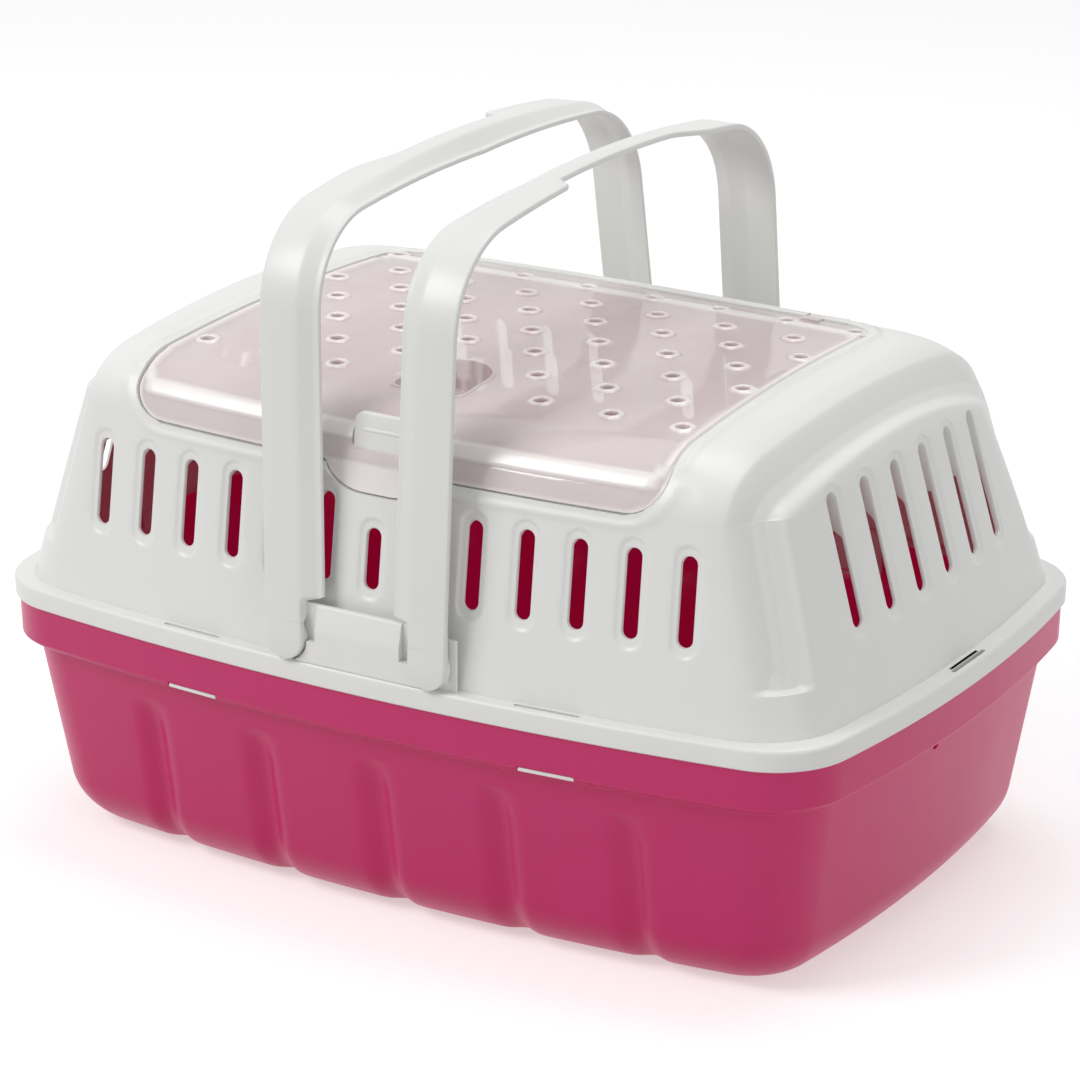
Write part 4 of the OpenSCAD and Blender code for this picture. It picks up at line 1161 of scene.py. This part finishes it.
# %% Latch tab
def latch_ring(h, inset):
    """A cross-section loop of the plate at a height above its foot."""
    half, z = LATCH_HALF - inset, LATCH_ROOT + h
    loop = soft_loop([(-half, LATCH_DEPTH), (half, LATCH_DEPTH),
                      (half, LATCH_DEPTH + LATCH_THICK), (-half, LATCH_DEPTH + LATCH_THICK)], 0.5)
    return np.array([(x, latch_face(z, d), TUB + z) for x, d in loop])


CORNER = 3.5
steps = [(0, 0), (8, 0), (16, 0), (22, 0)]
steps += [(LATCH_RISE - CORNER * (1 - math.sin(a)), CORNER * (1 - math.cos(a)))
          for a in np.radians(range(0, 91, 10))]
latch = loft("pet_keeper_latch", [latch_ring(h, i) for h, i in steps])
RIB_Z = LATCH_ROOT + LATCH_RISE - 6.5
rib = [(latch_face(RIB_Z, LATCH_DEPTH - out), TUB + RIB_Z + up) for up, out in
       ((-1, -0.3), (-0.6, 0.25), (0, 0.4), (0.6, 0.25), (1, -0.3))]
combine(latch, [soft_edges(prism("rib", rib, 0, -9.5, 9.5), 0.2)], "UNION")
slit = block("slit", (-1.7, -HALF_W, TUB + LATCH_ROOT + 1.5), (1.7, -SIDE_F[0], TUB + 93.4))
combine(latch, [slit], "DIFFERENCE")
latch.data.materials.clear()
latch.data.materials.append(SHELL_FINISH)
finish_mesh(latch, 40)

# %% [markdown]
# ## The handles
# Each handle is a shallow channel bent into an arch: a broad outer face, a slanted web and
# a narrow lip towards the middle. At the grip the outer face narrows, which makes the small
# notch near the top. The same section is set along the arch with its own width and depth
# at each place, and at both ends it closes into a round foot with a turning stub.

# %% Handle section and path
LEG_REACH, LEG_LEAN, HANDLE_TOP, HANDLE_CROWN, HANDLE_SHOULDER = 138.6, 0.09, 190.5, 700.0, 43.0
LEG_DEPTH, GRIP_DEPTH, HANDLE_WALL, FLANGE = 5.2, 8.0, 2.4, 17.0
HANDLE_F = fillet_centre(LEG_REACH, LEG_LEAN, PIVOT_Z, HANDLE_TOP, HANDLE_CROWN, HANDLE_SHOULDER)
HANDLE_T0, HANDLE_T1 = math.atan(LEG_LEAN), fillet_end(HANDLE_F, HANDLE_TOP, HANDLE_CROWN)
HANDLE_Z1 = HANDLE_F[1] + HANDLE_SHOULDER * math.sin(HANDLE_T0)
FOOT_BACK = SEAT_BACK + SEAT_PLATE + 0.3


def handle_edge(u):
    if u <= 1:
        z = PIVOT_Z + (HANDLE_Z1 - PIVOT_Z) * u
        return LEG_REACH - LEG_LEAN * max(z - PIVOT_Z, 0), z, HANDLE_T0 if z > PIVOT_Z else 0.0
    if u <= 2:
        t = HANDLE_T0 + (HANDLE_T1 - HANDLE_T0) * (u - 1)
        return (HANDLE_F[0] + HANDLE_SHOULDER * math.cos(t),
                HANDLE_F[1] + HANDLE_SHOULDER * math.sin(t), t)
    t = HANDLE_T1 + (math.pi / 2 - HANDLE_T1) * (u - 2)
    return HANDLE_CROWN * math.cos(t), HANDLE_TOP - HANDLE_CROWN + HANDLE_CROWN * math.sin(t), t


def ease(v, low, high):
    t = min(1, max(0, (v - low) / (high - low)))
    return t * t * (3 - 2 * t)


def handle_ring(u, side, notch):
    y, z, t = handle_edge(u)
    depth = LEG_DEPTH + (GRIP_DEPTH - LEG_DEPTH) * max(0, u - 2)
    where = side * y
    (a0, a1), (b0, b1) = notch
    narrow = ease(where, a0, a1) * (1 - ease(where, b0, b1)) if u > 1.5 else 0
    right = 8.5 - 7.0 * narrow
    left, web = -8.5, 1.0
    if z < PIVOT_Z:
        right = math.sqrt(max(FOOT_R**2 - (PIVOT_Z - z)**2, 0.04))
        left = -right
    low = ease(z, 33, 36) if u <= 1 else 1
    foot = HANDLE_WALL if z < PIVOT_Z + 7 else HANDLE_WALL + (depth - HANDLE_WALL) * ease(z, 25, 28)
    lip = -17.0 * low + (left - 0.0) * (1 - low)
    knee = -14.6 * low + (left + 0.4) * (1 - low)
    back = -11.6 * low + (left + 2.4) * (1 - low)
    loop = soft_loop([(right, 0), (right, HANDLE_WALL), (left + 3.4, HANDLE_WALL),
                      (back, foot), (lip, foot), (lip, foot - 1.9 * web), (knee, foot - 2.1 * web),
                      (left + 0.0, 0)], [0.9, 0.7, 1.2, 1.0, 0.5, 0.5, 1.0, 1.4], 3)
    if z < PIVOT_Z + 7:
        loop = soft_loop([(right, 0), (right, HANDLE_WALL), (left + 0.6, HANDLE_WALL),
                          (left + 0.45, HANDLE_WALL), (left + 0.3, HANDLE_WALL),
                          (left + 0.15, HANDLE_WALL), (left, HANDLE_WALL), (left, 0)],
                         [0.9, 0.7, 0.05, 0.05, 0.05, 0.05, 0.7, 0.9], 3)
    d = loop[:, 1]
    return np.column_stack([loop[:, 0], side * (y - d * math.cos(t)), TUB + z - d * math.sin(t)])


def handle_path():
    foot = [-(FOOT_R * math.cos(a)) / (HANDLE_Z1 - PIVOT_Z) for a in np.radians(range(2, 90, 8))]
    lift = 1 / (HANDLE_Z1 - PIVOT_Z)
    leg = [v * lift for v in (0, 3, 6.9, 7.1, 9, 11, 14, 14.6, 15.4, 16.2, 17, 17.8, 18.6, 22)]
    leg += list(np.linspace(26 * lift, 1, 24))
    bend = list(np.linspace(1, 2, 30))[1:]
    top = list(np.linspace(2, 3, 44))[1:]
    return foot + leg + bend + top


def foot_parts(side):
    """The cup behind the foot's face, its stub and the head that holds it in the bore."""
    ring = [np.array([(r * math.cos(a), y, TUB + PIVOT_Z + r * math.sin(a))
                      for a in np.radians(np.arange(0, 360, 7.5))])
            for r, y in ((FOOT_R, FOOT_BACK), (FOOT_R, LEG_REACH - 1.0), (6.1, LEG_REACH - 1.0),
                         (6.1, FOOT_BACK))]
    cup_wall = loft("cup wall", ring, loop=True)
    back = FOOT_BACK - 7.6
    stub = [np.array([(r * math.cos(a), y, TUB + PIVOT_Z + r * math.sin(a))
                      for a in np.radians(np.arange(0, 360, 7.5))])
            for r, y in ((5.0, back), (5.4, back + 0.4), (5.4, back + 2), (4.0, back + 2),
                         (4.0, LEG_REACH - 1.2))]
    parts = [cup_wall, loft("stub", stub)]
    for part in parts:
        for v in part.data.vertices:
            v.co.y *= side
        face_out(part)
    return parts


def make_handle(name, tilt, degrees, notch):
    path = handle_path()
    rings = [handle_ring(u, -1, notch) for u in path]
    rings += [handle_ring(u, 1, notch) for u in path[-2::-1]]
    arch = loft(name, rings)
    parts = [arch] + foot_parts(-1) + foot_parts(1)
    for x, side in ((-1, -1),):
        rib_box = block("rib", (4.2, 0, TUB + PIVOT_Z - 5), (8.0, 3.0, TUB + PIVOT_Z + 17))
        for v in rib_box.data.vertices:
            v.co.y = side * (LEG_REACH * MM - 4.6 * MM + v.co.y)
        parts.append(face_out(soft_edges(rib_box, 0.4)))
    handle = weld(name, parts)
    turn = math.radians(-tilt)
    for v in handle.data.vertices:
        x, z = v.co.x, v.co.z - (TUB + PIVOT_Z) * MM
        v.co.x = x * math.cos(turn) + z * math.sin(turn) + PIVOT_X * MM
        v.co.z = -x * math.sin(turn) + z * math.cos(turn) + (TUB + PIVOT_Z) * MM
    turned(handle, degrees)
    handle.data.materials.append(HANDLE_FINISH)
    return finish_mesh(handle, 40)


handle_right = make_handle("pet_keeper_handle_right", 0.7, 0, ((-43, -37), (49, 73)))
handle_left = make_handle("pet_keeper_handle_left", -3.4, 180, ((-41, -37), (31, 63)))

# %% [markdown]
# ## Telling the frame what each piece is
# Each piece rides on its CAD body, stands for the nodes it replaces and names the
# material slot of the record. The hinge ears are exact in the CAD model, so they stay and
# only get the shell's finish.

# %% Riding and replacing
for piece, body, nodes, slot in (
        (tub, "carrier", ["base_tub"], "tub_plastic"),
        (shell, "carrier", ["upper_shell"], "shell_plastic"),
        (seats[0], "carrier", ["handle_seat_front"], "shell_plastic"),
        (seats[1], "carrier", ["handle_seat_back"], "shell_plastic"),
        (lid, "lid", ["clear_lid"], "lid_plastic"),
        (latch, "carrier", ["latch_tongue"], "shell_plastic"),
        (handle_left, "left_handle", ["handle_left"], "shell_plastic"),
        (handle_right, "right_handle", ["handle_right"], "shell_plastic")):
    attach(piece, body)
    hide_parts(*nodes)
for ear_slot in frame["nodes"]["lid_hinge_ears"].material_slots:
    ear_slot.material = SHELL_FINISH
print("pieces placed")

# %% [markdown]
# ## Floor, light and camera
# The photograph is a product shot on white: big soft boxes, almost no shadow. The floor is
# pale and keeps the object's shadow, and only camera, glossy and transmitted rays see it
# lifted to white, so the white background adds no light to the plastic.

# %% Floor and world
def white_for_camera(book, shown, lit):
    ray = book.add("ShaderNodeLightPath", {}, {}, output="Is Camera Ray")
    seen = ray.most(book.pick(ray, "Is Glossy Ray")).most(book.pick(ray, "Is Transmission Ray"))
    return book.add("ShaderNodeMixShader", {}, {0: seen, 1: lit, 2: shown})


def make_floor():
    floor = add_mesh("floor", [(-6000, -6000, 0), (6000, -6000, 0), (6000, 6000, 0),
                               (-6000, 6000, 0)], [(0, 1, 2, 3)])
    material = bpy.data.materials.new("pale floor")
    material.use_nodes = True
    material.node_tree.nodes.clear()
    book = Book(material.node_tree)
    lit = book.add("ShaderNodeBsdfDiffuse", {}, {"Color": (0.7, 0.7, 0.7, 1)})
    glow = book.add("ShaderNodeEmission", {}, {"Color": (1, 1, 1, 1), "Strength": 0.5})
    shown = book.add("ShaderNodeAddShader", {}, [lit, glow])
    made = white_for_camera(book, shown, lit)
    end = material.node_tree.nodes.new("ShaderNodeOutputMaterial")
    material.node_tree.links.new(made.socket, end.inputs["Surface"])
    floor.data.materials.append(material)
    return floor


def make_world():
    world = bpy.data.worlds.new("studio")
    bpy.context.scene.world = world
    world.use_nodes = True
    world.node_tree.nodes.clear()
    book = Book(world.node_tree)
    lit = book.add("ShaderNodeBackground", {}, {"Color": (0.98, 0.99, 1, 1), "Strength": 0.34})
    shown = book.add("ShaderNodeBackground", {}, {"Color": (1, 1, 1, 1), "Strength": 1.0})
    made = white_for_camera(book, shown, lit)
    end = world.node_tree.nodes.new("ShaderNodeOutputWorld")
    world.node_tree.links.new(made.socket, end.inputs["Surface"])


make_floor()
make_world()


# %% Lamps
def soft_box(name, place, target, width, height, power, colour=(1, 1, 1)):
    data = bpy.data.lights.new(name, "AREA")
    data.shape, data.size, data.size_y = "RECTANGLE", width, height
    data.energy, data.color = power, colour
    lamp = bpy.data.objects.new(name, data)
    bpy.context.scene.collection.objects.link(lamp)
    from mathutils import Vector
    lamp.location = place
    lamp.rotation_euler = (Vector(target) - Vector(place)).to_track_quat("-Z", "Y").to_euler()
    return lamp


soft_box("key", (-1.3, -1.7, 1.9), (0, 0, 0.12), 1.3, 1.1, 34)
soft_box("fill", (2.2, -0.9, 0.9), (0, 0, 0.15), 1.4, 1.4, 9.5)
soft_box("top", (0.1, 0.5, 2.2), (0, 0, 0.2), 1.6, 1.2, 17)
print("lamps set")

# %% Camera
SCENE = bpy.context.scene
data = bpy.data.cameras.new("camera")
data.lens, data.sensor_width = 143.05, 36.0
data.shift_x, data.shift_y = 0.0019, -0.0030
camera = bpy.data.objects.new("camera", data)
camera.location = (0.86752, -1.42510, 0.72197)
camera.rotation_euler = (math.radians(90 - 19.624), 0, math.radians(31.35))
SCENE.collection.objects.link(camera)
SCENE.camera = camera
SCENE.view_settings.view_transform = "Standard"
